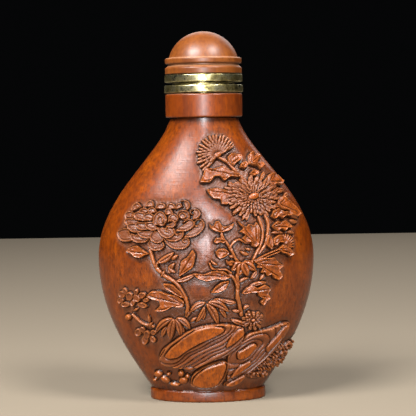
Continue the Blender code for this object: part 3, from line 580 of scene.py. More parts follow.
# What starts the random draws of the front and of the back
FRONT_SEED = 11
BACK_SEED = 5

# The big bloom's petals rise from this level towards its middle, in millimetres
BLOOM_LEVEL = 0.55
BLOOM_RISE = 0.3

# The big bloom's petals, outer ones first: how many points at the end are the tip's hook, and the
# rim's path from where it leaves the flower, round the tip
BLOOM_PETALS = (
    (0, ((-18.1, 40.2), (-19.9, 40.1), (-21.0, 39.4), (-20.9, 38.4), (-19.9, 37.6), (-18.4, 37.5),
         (-17.1, 37.8))),
    (0, ((-17.2, 39.2), (-17.3, 38.2), (-16.4, 37.5), (-15.2, 37.3), (-13.7, 37.5), (-12.7, 38.3))),
    (0, ((-12.2, 38.3), (-12.9, 37.1), (-12.5, 36.0), (-11.4, 35.6), (-10.0, 35.9), (-9.4, 36.7),
         (-9.8, 37.6))),
    (4, ((-9.4, 38.4), (-8.7, 37.1), (-7.5, 36.2), (-6.1, 35.9), (-4.6, 36.2), (-3.7, 37.1),
         (-3.9, 38.1), (-4.6, 38.3), (-5.1, 37.9), (-4.9, 37.4), (-4.4, 37.3))),
    (4, ((-5.0, 38.5), (-2.8, 38.7), (-1.1, 39.7), (-0.3, 41.2), (-0.8, 42.2), (-1.7, 42.4),
         (-2.4, 41.8), (-2.3, 41.0), (-1.6, 40.8))),
    (3, ((-2.9, 42.4), (-1.7, 42.8), (-1.2, 43.6), (-1.6, 44.4), (-2.5, 44.7), (-3.3, 44.2),
         (-3.2, 43.6), (-2.6, 43.5))),
    (3, ((-4.2, 44.3), (-3.5, 45.3), (-3.8, 46.2), (-4.8, 46.6), (-5.7, 46.2), (-5.7, 45.5),
         (-5.1, 45.3))),
    (0, ((-6.6, 44.6), (-6.4, 45.6), (-5.6, 45.9), (-5.2, 45.2))),
    (0, ((-8.8, 44.7), (-8.3, 45.7), (-7.2, 45.8), (-6.6, 44.8))),
    (0, ((-11.3, 44.7), (-10.7, 45.7), (-9.4, 45.8), (-8.9, 44.9))),
    (0, ((-13.8, 45.2), (-13.0, 46.3), (-12.0, 46.3), (-11.8, 45.2))),
    (0, ((-17.4, 44.0), (-17.0, 45.3), (-15.8, 45.9), (-14.9, 45.1))),
    (0, ((-16.8, 42.3), (-18.6, 42.3), (-19.1, 43.2), (-18.2, 44.0), (-16.8, 43.8))),
    (0, ((-15.4, 42.2), (-18.3, 42.4), (-19.0, 41.6), (-17.9, 40.9), (-15.6, 41.2))),
    (0, ((-14.6, 41.3), (-17.6, 41.3), (-18.1, 40.4), (-16.8, 39.6), (-15.2, 39.7), (-14.2, 40.4))),
    (0, ((-14.2, 39.8), (-15.4, 39.5), (-14.9, 38.6), (-13.2, 38.3), (-11.9, 38.9), (-11.2, 40.0))),
    (0, ((-11.9, 39.6), (-12.5, 38.7), (-12.2, 37.8), (-11.1, 37.3), (-9.9, 37.6), (-9.4, 38.5),
         (-10.1, 40.0))),
    (4, ((-9.7, 38.9), (-8.1, 37.8), (-6.4, 37.8), (-5.2, 38.6), (-5.0, 39.6), (-5.8, 40.1),
         (-6.6, 39.8), (-6.7, 39.2), (-6.1, 38.9))),
    (2, ((-6.8, 40.0), (-4.6, 39.9), (-3.0, 40.6), (-2.5, 41.6), (-3.3, 42.4), (-4.4, 42.1),
         (-5.2, 41.6))),
    (0, ((-4.6, 42.2), (-3.6, 42.8), (-3.8, 43.9), (-4.9, 44.4), (-6.0, 44.0), (-6.3, 43.0))),
    (0, ((-5.0, 42.6), (-4.3, 43.1), (-4.9, 43.8), (-5.7, 43.5), (-5.8, 42.8))),
    (0, ((-6.9, 41.6), (-6.1, 42.6), (-6.8, 43.5), (-7.9, 43.2), (-8.3, 42.0))),
    (0, ((-14.6, 43.2), (-15.1, 44.2), (-14.0, 44.8), (-12.8, 44.2))),
    (0, ((-12.9, 43.6), (-12.9, 44.6), (-11.8, 44.9), (-10.9, 44.0))),
    (0, ((-8.9, 43.4), (-8.8, 44.5), (-7.8, 44.6), (-7.2, 43.6))),
    (0, ((-13.4, 42.0), (-15.9, 42.4), (-16.4, 43.4), (-15.2, 43.9), (-13.6, 43.5))),
    (0, ((-13.2, 41.6), (-15.6, 41.5), (-15.9, 40.7), (-14.6, 40.1), (-12.8, 40.3))),
    (0, ((-11.6, 41.7), (-13.3, 41.6), (-13.4, 40.6), (-11.9, 40.0), (-10.6, 40.5))),
    (0, ((-12.2, 42.2), (-13.8, 42.4), (-13.9, 43.3), (-12.7, 43.7), (-11.5, 43.1))),
    (4, ((-10.9, 40.7), (-9.9, 38.9), (-8.2, 38.4), (-7.0, 39.3), (-7.1, 40.4), (-8.0, 40.8),
         (-8.8, 40.5), (-8.9, 39.9), (-8.2, 39.6))),
    (2, ((-8.9, 40.9), (-7.6, 40.7), (-6.7, 41.2), (-7.0, 42.0), (-7.9, 42.2), (-8.4, 41.7))),
    (0, ((-11.7, 41.2), (-11.6, 42.7), (-10.8, 43.8), (-9.8, 44.0), (-9.0, 43.3), (-8.7, 42.2),
         (-9.5, 41.0))),
    (0, ((-10.6, 41.3), (-10.8, 42.3), (-10.2, 43.1), (-9.6, 42.8), (-9.6, 41.6))),
)

# Leaves drawn by outline, then their heart and their tips
DRAWN_LEAVES = (
    (((8.0, 52.1), (5.8, 53.0), (4.0, 54.2), (2.0, 53.5), (0.0, 53.8), (-0.4, 52.2), (-1.2, 50.4),
      (1.2, 50.5), (2.2, 51.8), (3.3, 51.8), (4.3, 50.7), (5.8, 51.7), (7.9, 51.5)),
     (7.6, 51.8), ((-0.9, 50.7), (4.0, 50.9), (0.3, 53.4))),
    (((6.6, 48.5), (4.8, 48.7), (2.4, 49.4), (0.2, 48.9), (1.0, 47.6), (1.9, 46.8), (3.3, 46.8),
      (3.6, 45.6), (4.9, 45.5), (6.2, 46.6)), (6.4, 47.8), ((0.6, 48.7), (3.9, 45.9))),
    (((5.3, 54.7), (5.1, 56.2), (6.0, 56.9), (7.3, 56.8), (8.6, 56.3), (8.3, 55.2), (7.3, 54.8),
      (6.5, 53.9)), (5.9, 54.6), ((5.9, 56.6), (8.2, 55.9))),
    (((7.9, 53.7), (8.3, 54.7), (9.4, 55.0), (10.1, 54.3), (9.3, 53.3)), (8.2, 53.8), ((9.8, 54.3),)),
    (((10.2, 54.4), (10.3, 56.2), (11.6, 57.1), (13.1, 56.6), (14.3, 55.3), (14.6, 53.7),
      (13.4, 53.0), (12.5, 53.8), (11.4, 54.0)), (10.8, 54.6), ((11.8, 56.8), (14.3, 53.7), (13.5, 55.8))),
    (((10.3, 52.3), (11.3, 53.1), (12.6, 52.6), (12.3, 51.8), (11.0, 51.6)), (10.6, 52.2), ((12.3, 52.4),)),
    (((14.9, 50.3), (15.3, 51.7), (17.2, 52.1), (19.0, 51.4), (20.6, 49.9), (19.3, 49.2),
      (17.6, 49.6), (16.2, 49.0)), (15.2, 50.2), ((20.2, 49.9), (17.2, 51.8))),
    (((16.9, 45.2), (17.4, 46.9), (19.2, 46.7), (20.8, 45.7), (22.4, 44.4), (24.2, 42.6),
      (22.6, 42.0), (20.8, 42.6), (20.0, 43.7), (18.2, 44.0)), (17.4, 45.3), ((23.8, 42.6), (19.6, 46.3))),
    (((7.0, 42.2), (8.0, 41.2), (9.0, 40.5), (9.8, 41.3), (10.8, 40.8), (11.4, 41.6), (12.2, 40.2),
      (12.4, 38.4), (12.1, 36.8), (11.2, 35.9), (10.2, 36.2), (10.1, 37.2), (8.8, 37.2), (8.0, 38.0),
      (8.8, 38.8), (7.4, 39.5), (8.4, 40.2), (7.5, 41.0)), (11.4, 36.5),
     ((7.3, 41.9), (7.8, 39.5), (8.4, 37.8), (11.2, 41.2))),
    (((0.7, 41.7), (0.9, 40.4), (2.0, 39.7), (3.4, 39.4), (5.0, 39.7), (6.0, 40.3), (6.4, 41.6),
      (5.4, 41.0), (4.4, 40.7), (3.7, 41.0), (3.0, 42.0), (2.1, 41.9), (1.9, 41.1), (1.3, 40.9)),
     (3.4, 39.7), ((0.9, 41.2), (2.5, 41.8), (6.1, 41.2))),
    (((4.5, 37.6), (3.4, 38.4), (2.2, 38.3), (1.7, 37.4), (2.3, 36.9), (3.2, 37.3), (3.9, 36.9)),
     (4.3, 37.5), ((2.0, 37.8),)),
    (((5.3, 35.0), (4.2, 35.9), (2.8, 35.9), (2.0, 35.2), (2.4, 34.2), (3.0, 33.6), (4.2, 34.0),
      (4.9, 34.5)), (5.2, 35.0), ((2.2, 35.3), (3.0, 33.9))),
    (((14.2, 38.6), (15.0, 38.0), (15.4, 36.8), (14.9, 35.2), (14.2, 35.8), (13.6, 36.4), (13.8, 37.6)),
     (14.8, 35.5), ((14.2, 38.3),)),
    (((15.3, 36.4), (15.5, 37.8), (16.8, 38.5), (18.2, 38.4), (18.9, 37.4), (17.8, 36.6), (16.8, 36.9),
      (16.2, 36.0)), (15.6, 36.6), ((16.9, 38.2), (18.5, 37.5))),
    (((16.5, 35.3), (17.8, 36.4), (19.0, 36.0), (19.9, 35.0), (20.8, 34.1), (19.4, 33.4), (18.6, 34.2),
      (17.6, 34.3)), (16.8, 35.3), ((19.5, 35.3), (20.3, 34.0))),
    (((15.1, 40.5), (16.4, 41.5), (17.6, 41.2), (18.6, 41.6), (19.8, 40.8), (20.7, 39.7), (19.2, 39.9),
      (18.6, 39.1), (17.6, 39.8), (16.6, 39.2), (15.7, 39.7)), (15.3, 40.4),
     ((20.3, 39.9), (16.8, 39.4), (18.6, 41.3))),
    (((15.0, 42.6), (15.6, 43.9), (17.2, 44.3), (18.4, 43.5), (20.3, 43.4), (20.8, 42.3), (19.0, 42.6),
      (18.0, 41.9), (17.0, 42.6), (16.0, 41.9)), (15.2, 42.5), ((17.0, 44.0), (20.4, 42.8), (17.9, 42.1))),
    (((5.9, 31.9), (7.0, 32.4), (5.8, 33.3), (4.8, 32.9), (5.0, 32.2)), (6.8, 32.4), ((5.0, 32.7),)),
    (((-12.7, 34.8), (-14.2, 35.6), (-15.8, 36.7), (-17.4, 36.2), (-18.7, 35.2), (-17.2, 34.8),
      (-16.3, 33.9), (-14.9, 33.8), (-13.8, 34.5)), (-12.9, 34.8), ((-18.2, 35.3), (-15.8, 36.3))),
    (((-6.2, 29.6), (-5.9, 31.6), (-5.6, 33.2), (-4.2, 34.1), (-3.0, 35.8), (-2.3, 34.8),
      (-2.5, 33.2), (-2.9, 31.8), (-4.4, 30.8)), (-6.0, 30.0), ((-2.7, 35.2), (-2.8, 32.4))),
    (((5.6, 29.6), (3.9, 30.9), (1.4, 31.0), (-0.6, 30.2), (-3.1, 30.6), (-2.0, 29.3), (0.1, 28.6),
      (2.4, 29.2), (4.0, 28.8)), (5.2, 29.6), ((-2.6, 30.2), (2.0, 30.6))),
    (((5.2, 28.8), (3.4, 28.5), (1.9, 27.4), (0.9, 26.0), (2.8, 26.1), (4.4, 26.9)), (5.0, 28.6),
     ((1.3, 26.2),)),
    (((-4.9, 24.0), (-6.6, 25.6), (-8.6, 25.8), (-10.4, 26.5), (-12.6, 26.4), (-13.7, 25.3),
      (-12.2, 24.5), (-10.6, 24.3), (-10.6, 23.0), (-11.9, 21.9), (-9.6, 21.9), (-7.6, 23.0),
      (-5.2, 22.8)), (-5.2, 23.6), ((-13.2, 25.4), (-11.3, 22.0), (-9.6, 26.2))),
    (((-4.9, 24.9), (-5.9, 26.6), (-7.6, 28.1), (-9.8, 28.2), (-9.2, 27.0), (-7.4, 26.0),
      (-6.0, 25.2)), (-5.2, 25.0), ((-9.5, 28.0),)),
    (((10.7, 32.7), (12.4, 33.7), (14.4, 33.4), (15.6, 33.6), (16.6, 32.4), (17.9, 31.6), (16.8, 30.8),
      (17.6, 29.2), (16.6, 28.3), (15.3, 28.9), (14.8, 29.8), (13.6, 29.3), (13.2, 30.3), (12.2, 30.2),
      (12.7, 31.4), (11.3, 31.3), (11.6, 32.1)), (11.2, 32.5),
     ((17.4, 31.6), (17.0, 28.9), (13.5, 29.8), (15.2, 33.3))),
    (((7.8, 25.7), (8.8, 26.9), (10.2, 27.5), (11.6, 26.8), (13.2, 27.6), (14.7, 26.6), (14.0, 25.6),
      (14.6, 24.4), (13.7, 23.9), (12.8, 22.7), (12.0, 23.5), (12.8, 24.5), (11.7, 24.9), (11.4, 25.9),
      (9.8, 25.9), (8.8, 25.5)), (8.1, 25.9), ((14.3, 26.5), (12.7, 23.2), (14.2, 24.5), (11.9, 25.2))),
)

# Leaves: where the blade starts, its tip, its width and its bend
LEAVES = (
    (16.4, 48.0, 20.2, 48.0, 1.3, 0.2), (15.8, 44.9, 19.8, 44.4, 1.3, 0.2),
    (15.2, 39.0, 18.2, 38.7, 0.9, 0.2), (2.6, 31.3, 1.9, 30.4, 0.7, 0.1),
    (9.4, 26.9, 13.9, 28.0, 1.1, 0.3), (-10.9, 32.9, -7.2, 35.2, 1.6, -0.3),
    (-8.4, 30.4, -7.0, 32.8, 1.2, 0.3), (-6.9, 30.6, -8.6, 32.0, 0.8, 0.2),
    (-6.7, 28.7, -2.2, 30.5, 1.3, -0.3), (-13.2, 19.0, -13.5, 20.9, 0.8, 0.0),
    (-17.3, 21.6, -15.8, 22.4, 0.7, 0.0), (8.9, 18.2, 5.3, 19.8, 1.3, 0.0),
    (-4.6, 20.6, -3.2, 22.0, 0.7, 0.1), (6.6, 23.6, 3.2, 24.6, 1.1, 0.3),
    (19.2, 46.6, 21.6, 47.2, 1.1, 0.2), (19.6, 43.2, 23.2, 41.6, 1.2, 0.2),
    (20.2, 41.6, 22.8, 41.0, 1.0, -0.2), (19.2, 39.0, 21.2, 38.4, 0.9, 0.2),
    (15.6, 47.2, 18.4, 48.9, 1.1, 0.2), (13.2, 50.6, 14.6, 52.6, 1.1, 0.1),
    (12.2, 49.9, 12.4, 51.6, 0.9, 0.1), (7.4, 45.0, 6.2, 43.2, 0.9, 0.1),
    (9.0, 43.8, 8.2, 42.0, 0.9, 0.1), (6.4, 49.9, 5.2, 50.7, 0.8, 0.1),
    (9.6, 34.4, 7.6, 35.2, 0.9, 0.2), (10.2, 35.4, 8.8, 35.9, 0.7, 0.1),
    (6.2, 33.9, 5.0, 34.4, 0.8, 0.1), (2.6, 32.2, 1.0, 33.4, 0.7, 0.2),
    (11.4, 30.8, 9.8, 28.8, 1.1, 0.2), (13.2, 30.2, 12.0, 28.6, 0.9, 0.2),
    (5.8, 31.9, 4.4, 33.4, 0.8, 0.2), (7.2, 28.2, 9.6, 29.2, 0.9, 0.2),
    (-9.4, 31.0, -10.4, 29.6, 0.8, 0.1), (-7.7, 33.4, -6.2, 34.6, 0.9, 0.1),
    (7.5, 21.6, 5.6, 21.9, 0.9, 0.1), (8.2, 22.0, 9.6, 22.9, 0.9, 0.1),
    (-13.2, 17.9, -12.6, 19.2, 0.9, 0.1), (-3.6, 19.4, -2.2, 20.4, 0.8, 0.1),
    (1.6, 24.5, 4.2, 23.6, 1.0, 0.2), (2.8, 22.4, 4.3, 20.0, 1.1, 0.2),
    (-0.8, 22.4, -0.9, 19.7, 1.1, 0.1), (-0.5, 22.9, -2.6, 19.2, 1.2, 0.3),
    (-0.2, 23.8, -3.9, 21.4, 1.4, -0.5), (0.3, 23.9, 5.0, 21.5, 1.7, 0.6),
    (0.0, 23.6, 2.5, 18.6, 1.8, 0.4),
    (-9.0, 18.4, -10.4, 15.6, 1.2, -0.2), (-6.2, 18.6, -5.2, 16.2, 1.1, 0.1),
    (-7.7, 20.2, -11.9, 16.6, 1.6, -0.6), (-6.9, 20.3, -3.7, 17.6, 1.5, 0.5),
    (-7.1, 20.0, -5.9, 15.7, 1.6, 0.3), (-7.5, 20.1, -8.3, 15.1, 2.0, -0.3),
)

# Stems: width, then the points they pass through
STEMS = (
    (0.8, ((-12.6, 35.6), (-12.1, 33.6), (-11.3, 31.8), (-9.8, 30.2), (-8.0, 29.1), (-6.8, 28.3),
           (-5.7, 26.8), (-4.8, 25.0), (-4.3, 23.0), (-4.5, 20.8))),
    (0.5, ((-11.2, 31.9), (-10.9, 32.9), (-10.2, 33.3))),
    (0.6, ((3.1, 56.1), (5.0, 55.0), (6.6, 53.3), (8.2, 51.6), (9.4, 50.3))),
    (0.65, ((3.5, 39.9), (3.7, 38.4), (4.8, 36.9), (5.8, 35.2), (6.5, 33.7), (7.4, 32.4))),
    (0.85, ((7.6, 32.2), (6.9, 29.6), (7.0, 27.0), (6.9, 25.2), (7.3, 23.4), (7.7, 20.8))),
    (0.6, ((5.0, 30.6), (6.3, 28.8), (7.0, 27.0))),
    (0.65, ((13.6, 43.0), (14.3, 41.2), (14.2, 39.6), (13.9, 38.0), (13.3, 36.2), (11.9, 34.6))),
    (0.65, ((12.0, 42.6), (12.8, 40.2), (12.8, 38.0), (12.0, 35.8), (11.0, 34.0), (10.4, 32.6))),
    (0.6, ((10.4, 32.6), (9.2, 32.9), (7.8, 32.2))),
    (0.4, ((10.9, 33.0), (13.6, 34.2), (16.8, 35.3))),
    (0.35, ((11.8, 32.8), (14.2, 33.9), (16.6, 34.6), (17.6, 35.0))),
    (0.5, ((5.3, 36.0), (6.2, 37.2), (7.4, 37.8), (8.6, 37.2), (9.8, 37.0))),
    (0.45, ((5.6, 30.4), (4.2, 31.2), (2.4, 31.2), (1.3, 31.5), (0.8, 32.6))),
    (0.6, ((-17.4, 20.8), (-15.0, 18.9), (-12.2, 18.2))),
)

# Fans of leaves: the point they spread from, first and last tip (degrees, length), count, width
FANS = (
    (8.0, 32.8, 218, 3.0, 328, 3.8, 4, 2.0),
    (18.5, 36.1, -12, 2.9, 100, 2.6, 8, 0.62),
)

# Flat-rayed flowers: place of the eye, half width and height of the outer ring, petals, rings
RAYED_FLOWERS = (
    (10.9, 47.1, 7.2, 5.1, 32, 6),
    (10.4, 19.5, 2.7, 2.3, 13, 3),
)

# The flower seen from the side: place of its cup, directions of its first and last petal, petal
# lengths at the first, the middle and the last, and how many are in the outermost layer
SIDE_FLOWER = (2.9, 56.6, 26, 236, (4.4, 4.7, 4.9), 19)

# Rocks: outline of the mass, the facet its layers run round, and the other facets cut on it
ROCKS = (
    (((4.2, 4.5), (8.8, 6.6), (12.2, 9.2), (15.0, 11.3), (17.6, 13.8), (19.6, 16.4), (20.1, 18.3),
      (17.6, 18.3), (14.2, 17.2), (9.6, 16.7), (7.4, 14.6), (4.6, 12.2), (4.4, 8.0)),
     ((6.7, 10.5), (8.7, 10.7), (11.4, 13.4), (10.4, 14.2), (8.2, 13.0), (6.6, 12.2)),
     (((13.6, 11.7), (15.6, 13.2), (17.6, 15.3), (19.7, 18.0), (18.0, 17.6), (15.6, 15.0),
       (13.4, 13.2)),
      ((4.8, 5.8), (7.4, 7.4), (10.0, 9.4), (9.4, 10.2), (6.6, 8.6)))),
    (((-11.4, 10.8), (-10.4, 9.0), (-6.6, 8.4), (-3.2, 8.3), (0.4, 9.8), (4.4, 11.4), (7.0, 13.4),
      (8.6, 16.4), (8.2, 18.0), (5.9, 18.6), (2.6, 18.9), (-1.0, 18.5), (-4.6, 17.2), (-7.6, 14.9),
      (-10.3, 12.8)),
     ((-9.7, 11.5), (-8.9, 10.9), (-6.6, 11.2), (-5.0, 12.6), (-2.0, 14.5), (1.5, 16.0), (3.9, 17.4),
      (3.2, 18.3), (0.5, 18.5), (-2.5, 17.7), (-5.6, 15.6), (-8.2, 13.4)),
     (((3.9, 13.1), (6.2, 14.6), (8.3, 16.4), (8.0, 17.7), (7.0, 17.7), (5.0, 15.6)),)),
    (((-4.1, 4.2), (-3.6, 6.8), (-1.0, 8.9), (3.2, 10.3), (4.9, 9.6), (4.1, 6.4), (2.4, 3.9),
      (-1.2, 3.4)),
     ((-3.6, 4.7), (-3.0, 6.4), (-1.0, 8.3), (1.4, 9.3), (3.6, 9.9), (4.2, 9.1), (3.4, 6.6),
      (1.9, 4.2), (-1.2, 3.8)), ()),
    (((3.2, 4.1), (5.0, 5.6), (8.6, 7.3), (8.9, 6.1), (7.2, 4.4), (5.0, 3.7)),
     ((3.8, 4.3), (5.2, 5.3), (8.2, 6.8), (8.4, 6.1), (7.0, 4.7), (5.2, 4.0)), ()),
)

# Pebbles and buds: place, half length, half height, tilt in degrees
PEBBLES = (
    (-11.7, 6.6, 1.05, 0.8, -10), (-10.0, 5.4, 1.25, 0.7, -32), (-6.1, 7.1, 0.7, 0.7, 0),
    (-5.6, 5.4, 1.0, 0.85, 0), (-4.2, 8.5, 1.2, 0.5, -5), (-7.6, 4.4, 1.2, 0.45, -8),
    (-4.6, 6.5, 0.5, 0.45, 0), (-12.8, 5.2, 0.6, 0.35, 10), (-9.0, 6.9, 0.45, 0.35, 0),
    (-18.8, 20.1, 0.8, 0.7, 0),
)

# Small half-hidden blossoms of scooped petals at the left: place, half length, half height, turn
SMALL_BLOOMS = (
    (-20.7, 23.9, 0.9, 0.7, 200), (-19.4, 23.0, 1.2, 0.6, 185), (-17.3, 23.5, 0.8, 0.55, 260),
    (-14.9, 23.1, 1.3, 0.6, 350), (-13.9, 24.3, 0.8, 0.5, 10), (-15.0, 25.3, 1.1, 0.7, 20),
    (-16.4, 25.9, 0.9, 0.5, 70), (-20.2, 25.3, 0.9, 0.8, 150), (-19.2, 26.1, 0.9, 0.55, 110),
    (-16.3, 24.6, 1.0, 0.75, 330), (-18.1, 25.0, 1.0, 0.9, 90),
    (-16.3, 16.6, 0.8, 0.9, 180), (-14.6, 14.9, 1.1, 0.8, 265), (-12.6, 15.2, 0.9, 0.6, 320),
    (-12.4, 16.8, 0.8, 0.6, 20), (-15.0, 17.3, 0.8, 0.6, 110), (-14.0, 16.2, 1.0, 0.8, 80),
)

MOSS_BANKS = (
    ((9.2, 5.4), (12.8, 5.0), (16.6, 7.2), (21.0, 8.6), (25.4, 10.8), (25.0, 13.2), (20.6, 13.2),
     (17.2, 13.3), (14.9, 11.0), (11.8, 9.0), (9.4, 7.2)),
)
MOSS_GRAIN = 0.85

# The guessed spray on the back: its stem, leaves with their lobes, fan, flower and rock
BACK_STEM = (0.95, ((0.0, 37.0), (0.5, 33.0), (0.1, 28.0), (-0.3, 24.0), (0.0, 17.0)))
BACK_LEAVES = (
    (-0.4, 32.0, -9.0, 36.0, 3.2, -0.8, 2), (0.4, 30.0, 9.0, 34.0, 3.2, 0.8, 2),
    (-0.6, 26.0, -8.6, 25.6, 2.8, 0.8, 2), (0.6, 24.0, 8.6, 24.6, 2.8, -0.8, 2),
)
BACK_FAN = (0.0, 17.0, 20, 5.2, 160, 5.2, 5, 2.0)
BACK_FLOWER = (0.0, 42.0, 6.4, 5.6, 18, 4)
BACK_ROCK = (
    ((-9.0, 8.0), (-4.0, 6.2), (3.0, 6.0), (9.4, 7.8), (8.0, 12.0), (3.6, 15.6), (-2.0, 16.4),
     (-6.4, 13.4)),
    ((-6.8, 9.2), (-1.6, 8.6), (2.2, 13.4), (-1.6, 14.8), (-5.0, 12.2)),
    (((0.8, 7.6), (7.4, 8.6), (6.2, 11.4), (3.6, 13.0)),))


def carve_front(relief):
    """Everything on the front, each form laid over the ones before it."""
    dice = np.random.default_rng(FRONT_SEED)
    for corners in MOSS_BANKS:
        moss_bank(relief, corners, MOSS_GRAIN, dice)
    for width, points in STEMS:
        stem(relief, width, points)
    for data in LEAVES:
        leaf(relief, data[:2], data[2:4], *data[4:])
    for outline, heart, tips in DRAWN_LEAVES:
        drawn_leaf(relief, outline, heart, tips)
    for data in FANS:
        fan_of_leaves(relief, *data)
    for data in SMALL_BLOOMS:
        petal_cup(relief, *data)
    for data in RAYED_FLOWERS:
        rayed_flower(relief, *data, dice)
    side_flower(relief, *SIDE_FLOWER, dice)
    for number, (hook, path) in enumerate(BLOOM_PETALS):
        rolled_petal(relief, hook, path, BLOOM_LEVEL + BLOOM_RISE * number / len(BLOOM_PETALS))
    for outline, core, facets in ROCKS:
        rock(relief, outline, core, facets)
    for data in PEBBLES:
        pebble(relief, *data)


def carve_back(relief):
    """The plainer spray on the back, round the back centre line."""
    dice = np.random.default_rng(BACK_SEED)
    stem(relief, *BACK_STEM)
    for data in BACK_LEAVES:
        leaf(relief, data[:2], data[2:4], *data[4:])
    fan_of_leaves(relief, *BACK_FAN)
    rayed_flower(relief, *BACK_FLOWER, dice)
    rock(relief, *BACK_ROCK, level=0.7, facet_level=0.95)


def skin_grid():
    """Angles round the body, closely spaced on the front, and heights up it."""
    front = np.linspace(FRONT_FROM, FRONT_TO, FRONT_COLUMNS, endpoint=False)
    back = np.linspace(FRONT_TO, FRONT_FROM + 2 * math.pi, BACK_COLUMNS, endpoint=False)
    heights = np.linspace(FOOT_HEIGHT, BODY_HEIGHT, int((BODY_HEIGHT - FOOT_HEIGHT) / ROW_STEP) + 1)
    return np.concatenate([front, back]), heights


def way_round(angles, width, depth):
    """Distance round the oval from the front centre line, for each height and angle."""
    turn = np.linspace(-math.pi, 2 * math.pi, ROUND_STEPS)
    middle = (turn[1:] + turn[:-1]) / 2
    along = np.empty((len(width), len(angles)))
    for k, (half_w, half_d) in enumerate(zip(width, depth)):
        speed = np.hypot(half_w * np.cos(middle), half_d * np.sin(middle))
        total = np.concatenate([[0], np.cumsum(speed * np.diff(turn))])
        along[k] = np.interp(angles, turn, total) - np.interp(0, turn, total)
    return along


def outward(angles, heights, width, depth):
    """The way the plain surface faces at each height and angle."""
    wider, deeper = np.gradient(width, heights)[:, None], np.gradient(depth, heights)[:, None]
    width, depth = width[:, None], depth[:, None]
    sine, cosine = np.sin(angles)[None], np.cos(angles)[None]
    facing = np.stack([depth * sine, -width * cosine,
                       -width * deeper * cosine**2 - depth * wider * sine**2], axis=-1)
    return facing / np.linalg.norm(facing, axis=-1, keepdims=True)


def tool_marks(along, up):
    """Crossing strokes of a small gouge on the dug ground, the broad ones and then the finer ones."""
    broad = np.sin(5.3 * along + 2.0 * np.sin(1.7 * up)) * np.sin(4.1 * up + 1.6 * np.sin(1.3 * along))
    fine = 0.9 * np.sin(9.7 * along + 3.0 * np.sin(2.9 * up))
    return broad + fine * np.sin(8.3 * up + 2.6 * np.sin(3.1 * along))


def carve():
    """The angles round the body, the skin's points, and for each point how recessed, worn, polished
    and dug over it is, and how much painted shade and grime it takes near the carving, under the
    collar and above the foot. Recesses carry painted shade with old wax and dirt, and worn edges a
    painted highlight with their wear."""
    angles, heights = skin_grid()
    width, depth = half_sizes(heights)
    along = way_round(angles, width, depth)
    up = np.repeat(heights[:, None], len(angles), axis=1)
    front = Relief(along, up)
    carve_front(front)
    back = Relief(along - way_round(np.array([math.pi]), width, depth), up)
    carve_back(back)
    height = (front.height + back.height).reshape(along.shape)
    cover = np.maximum(front.cover, back.cover).reshape(along.shape)
    polish = np.maximum(front.polish, back.polish).reshape(along.shape)
    ground = smooth((soften(cover, round(GROUND_REACH / ROW_STEP)) - 0.06) * 4.5)
    height -= ground * (1 - cover) * (GROUND_SUNK + TOOL_MARKS * tool_marks(along, up))
    height *= smooth((up - FOOT_HEIGHT) / PLAIN_MARGIN) * smooth((BODY_HEIGHT - up) / PLAIN_MARGIN)
    # Dips take painted shade with old wax and dirt, rises take wear with a painted highlight
    dip = (FINE_WEIGHT * (soften(height, FINE_REACH) - height)
           + BROAD_WEIGHT * (soften(height, BROAD_REACH) - height))
    # Painted shade and grime round the carving, under the collar and above the foot
    painted_shade_and_grime = smooth(2.2 * soften(cover, SHADE_AND_GRIME_REACH)) * (1 - cover)
    painted_shade_and_grime += bump(BODY_HEIGHT - up, SHOULDER_SHADE_AND_GRIME) + bump(up - FOOT_HEIGHT, HEEL_SHADE_AND_GRIME)
    plain = np.stack([width[:, None] * np.sin(angles), -depth[:, None] * np.cos(angles), up], axis=-1)
    points = plain + outward(angles, heights, width, depth) * height[..., None]
    marks = {"recess_painted_shade_and_dirt": np.clip(dip - LEAST_DIP, 0, 1), "wear_and_painted_highlight": np.clip(-dip - LEAST_DIP, 0, 1),
             "polish": polish * ground, "ground": ground, "painted_shade_and_grime": np.clip(painted_shade_and_grime, 0, 1)}
    return angles, points, marks


def levels(name):
    """Bottom, top and outer radius of a solid, in millimetres."""
    low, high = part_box(name)
    return low.z / MM, high.z / MM, high.x / MM


def foot_rings():
    """Half width, half depth and height of the rings from the heel down the foot to its recess."""
    wide, deep, ease = FOOT_HALF_WIDTH, FOOT_HALF_DEPTH, FOOT_ROUNDING
    ledge = FOOT_HEIGHT - LEDGE_DROP
    rings = [(FOOT_LEDGE - LEDGE_LAP, ledge)]
    for k in range(4):
        turn = math.pi / 2 * k / 3
        rings.append((ease * (1 - math.sin(turn)), ledge - ease * (1 - math.cos(turn))))
    rings += [(0.0, height) for height in BAND_RINGS]
    for k in range(1, 5):
        turn = math.pi / 2 * k / 4
        rings.append((ease * (1 - math.cos(turn)), ease * (1 - math.sin(turn))))
    rim = ease + FOOT_RIM
    rings += [(rim, 0.0), (rim + RECESS_EDGE, RECESS_EDGE), (rim + ease, RECESS_DEPTH)]
    return [(wide - inset, deep - inset, height) for inset, height in rings]


def inner_rings():
    """The same for the rings from the shoulder over the tenon, down the mouth and into the cavity."""
    collar_top = levels("neck_collar")[1]
    sleeve_bore = SLEEVE_RADIUS + GAP
    rings = [(radius, radius, height) for radius, height in (
        (TENON_RADIUS, BODY_HEIGHT), (TENON_RADIUS, collar_top), (sleeve_bore, collar_top),
        (sleeve_bore, SLEEVE_END), (MOUTH_RADIUS, SLEEVE_END), (MOUTH_RADIUS, CAVITY_TOP))]
    for k in range(1, CAVITY_RINGS):
        height = BODY_FLOOR + (CAVITY_TOP - BODY_FLOOR) * (1 + math.cos(math.pi * k / CAVITY_RINGS)) / 2
        outside = half_sizes(np.array([height - SLOPE_STEP, height, height + SLOPE_STEP]))
        inside = [here - WALL * math.hypot(1, (above - below) / (2 * SLOPE_STEP))
                  for below, here, above in outside]
        rings.append((max(inside[0], MOUTH_RADIUS), max(inside[1], MOUTH_RADIUS), height))
    wide, deep, _ = rings[-1]
    rings.append((wide - WALL / 2, max(deep - WALL / 2, MOUTH_RADIUS / 2), BODY_FLOOR))
    return rings


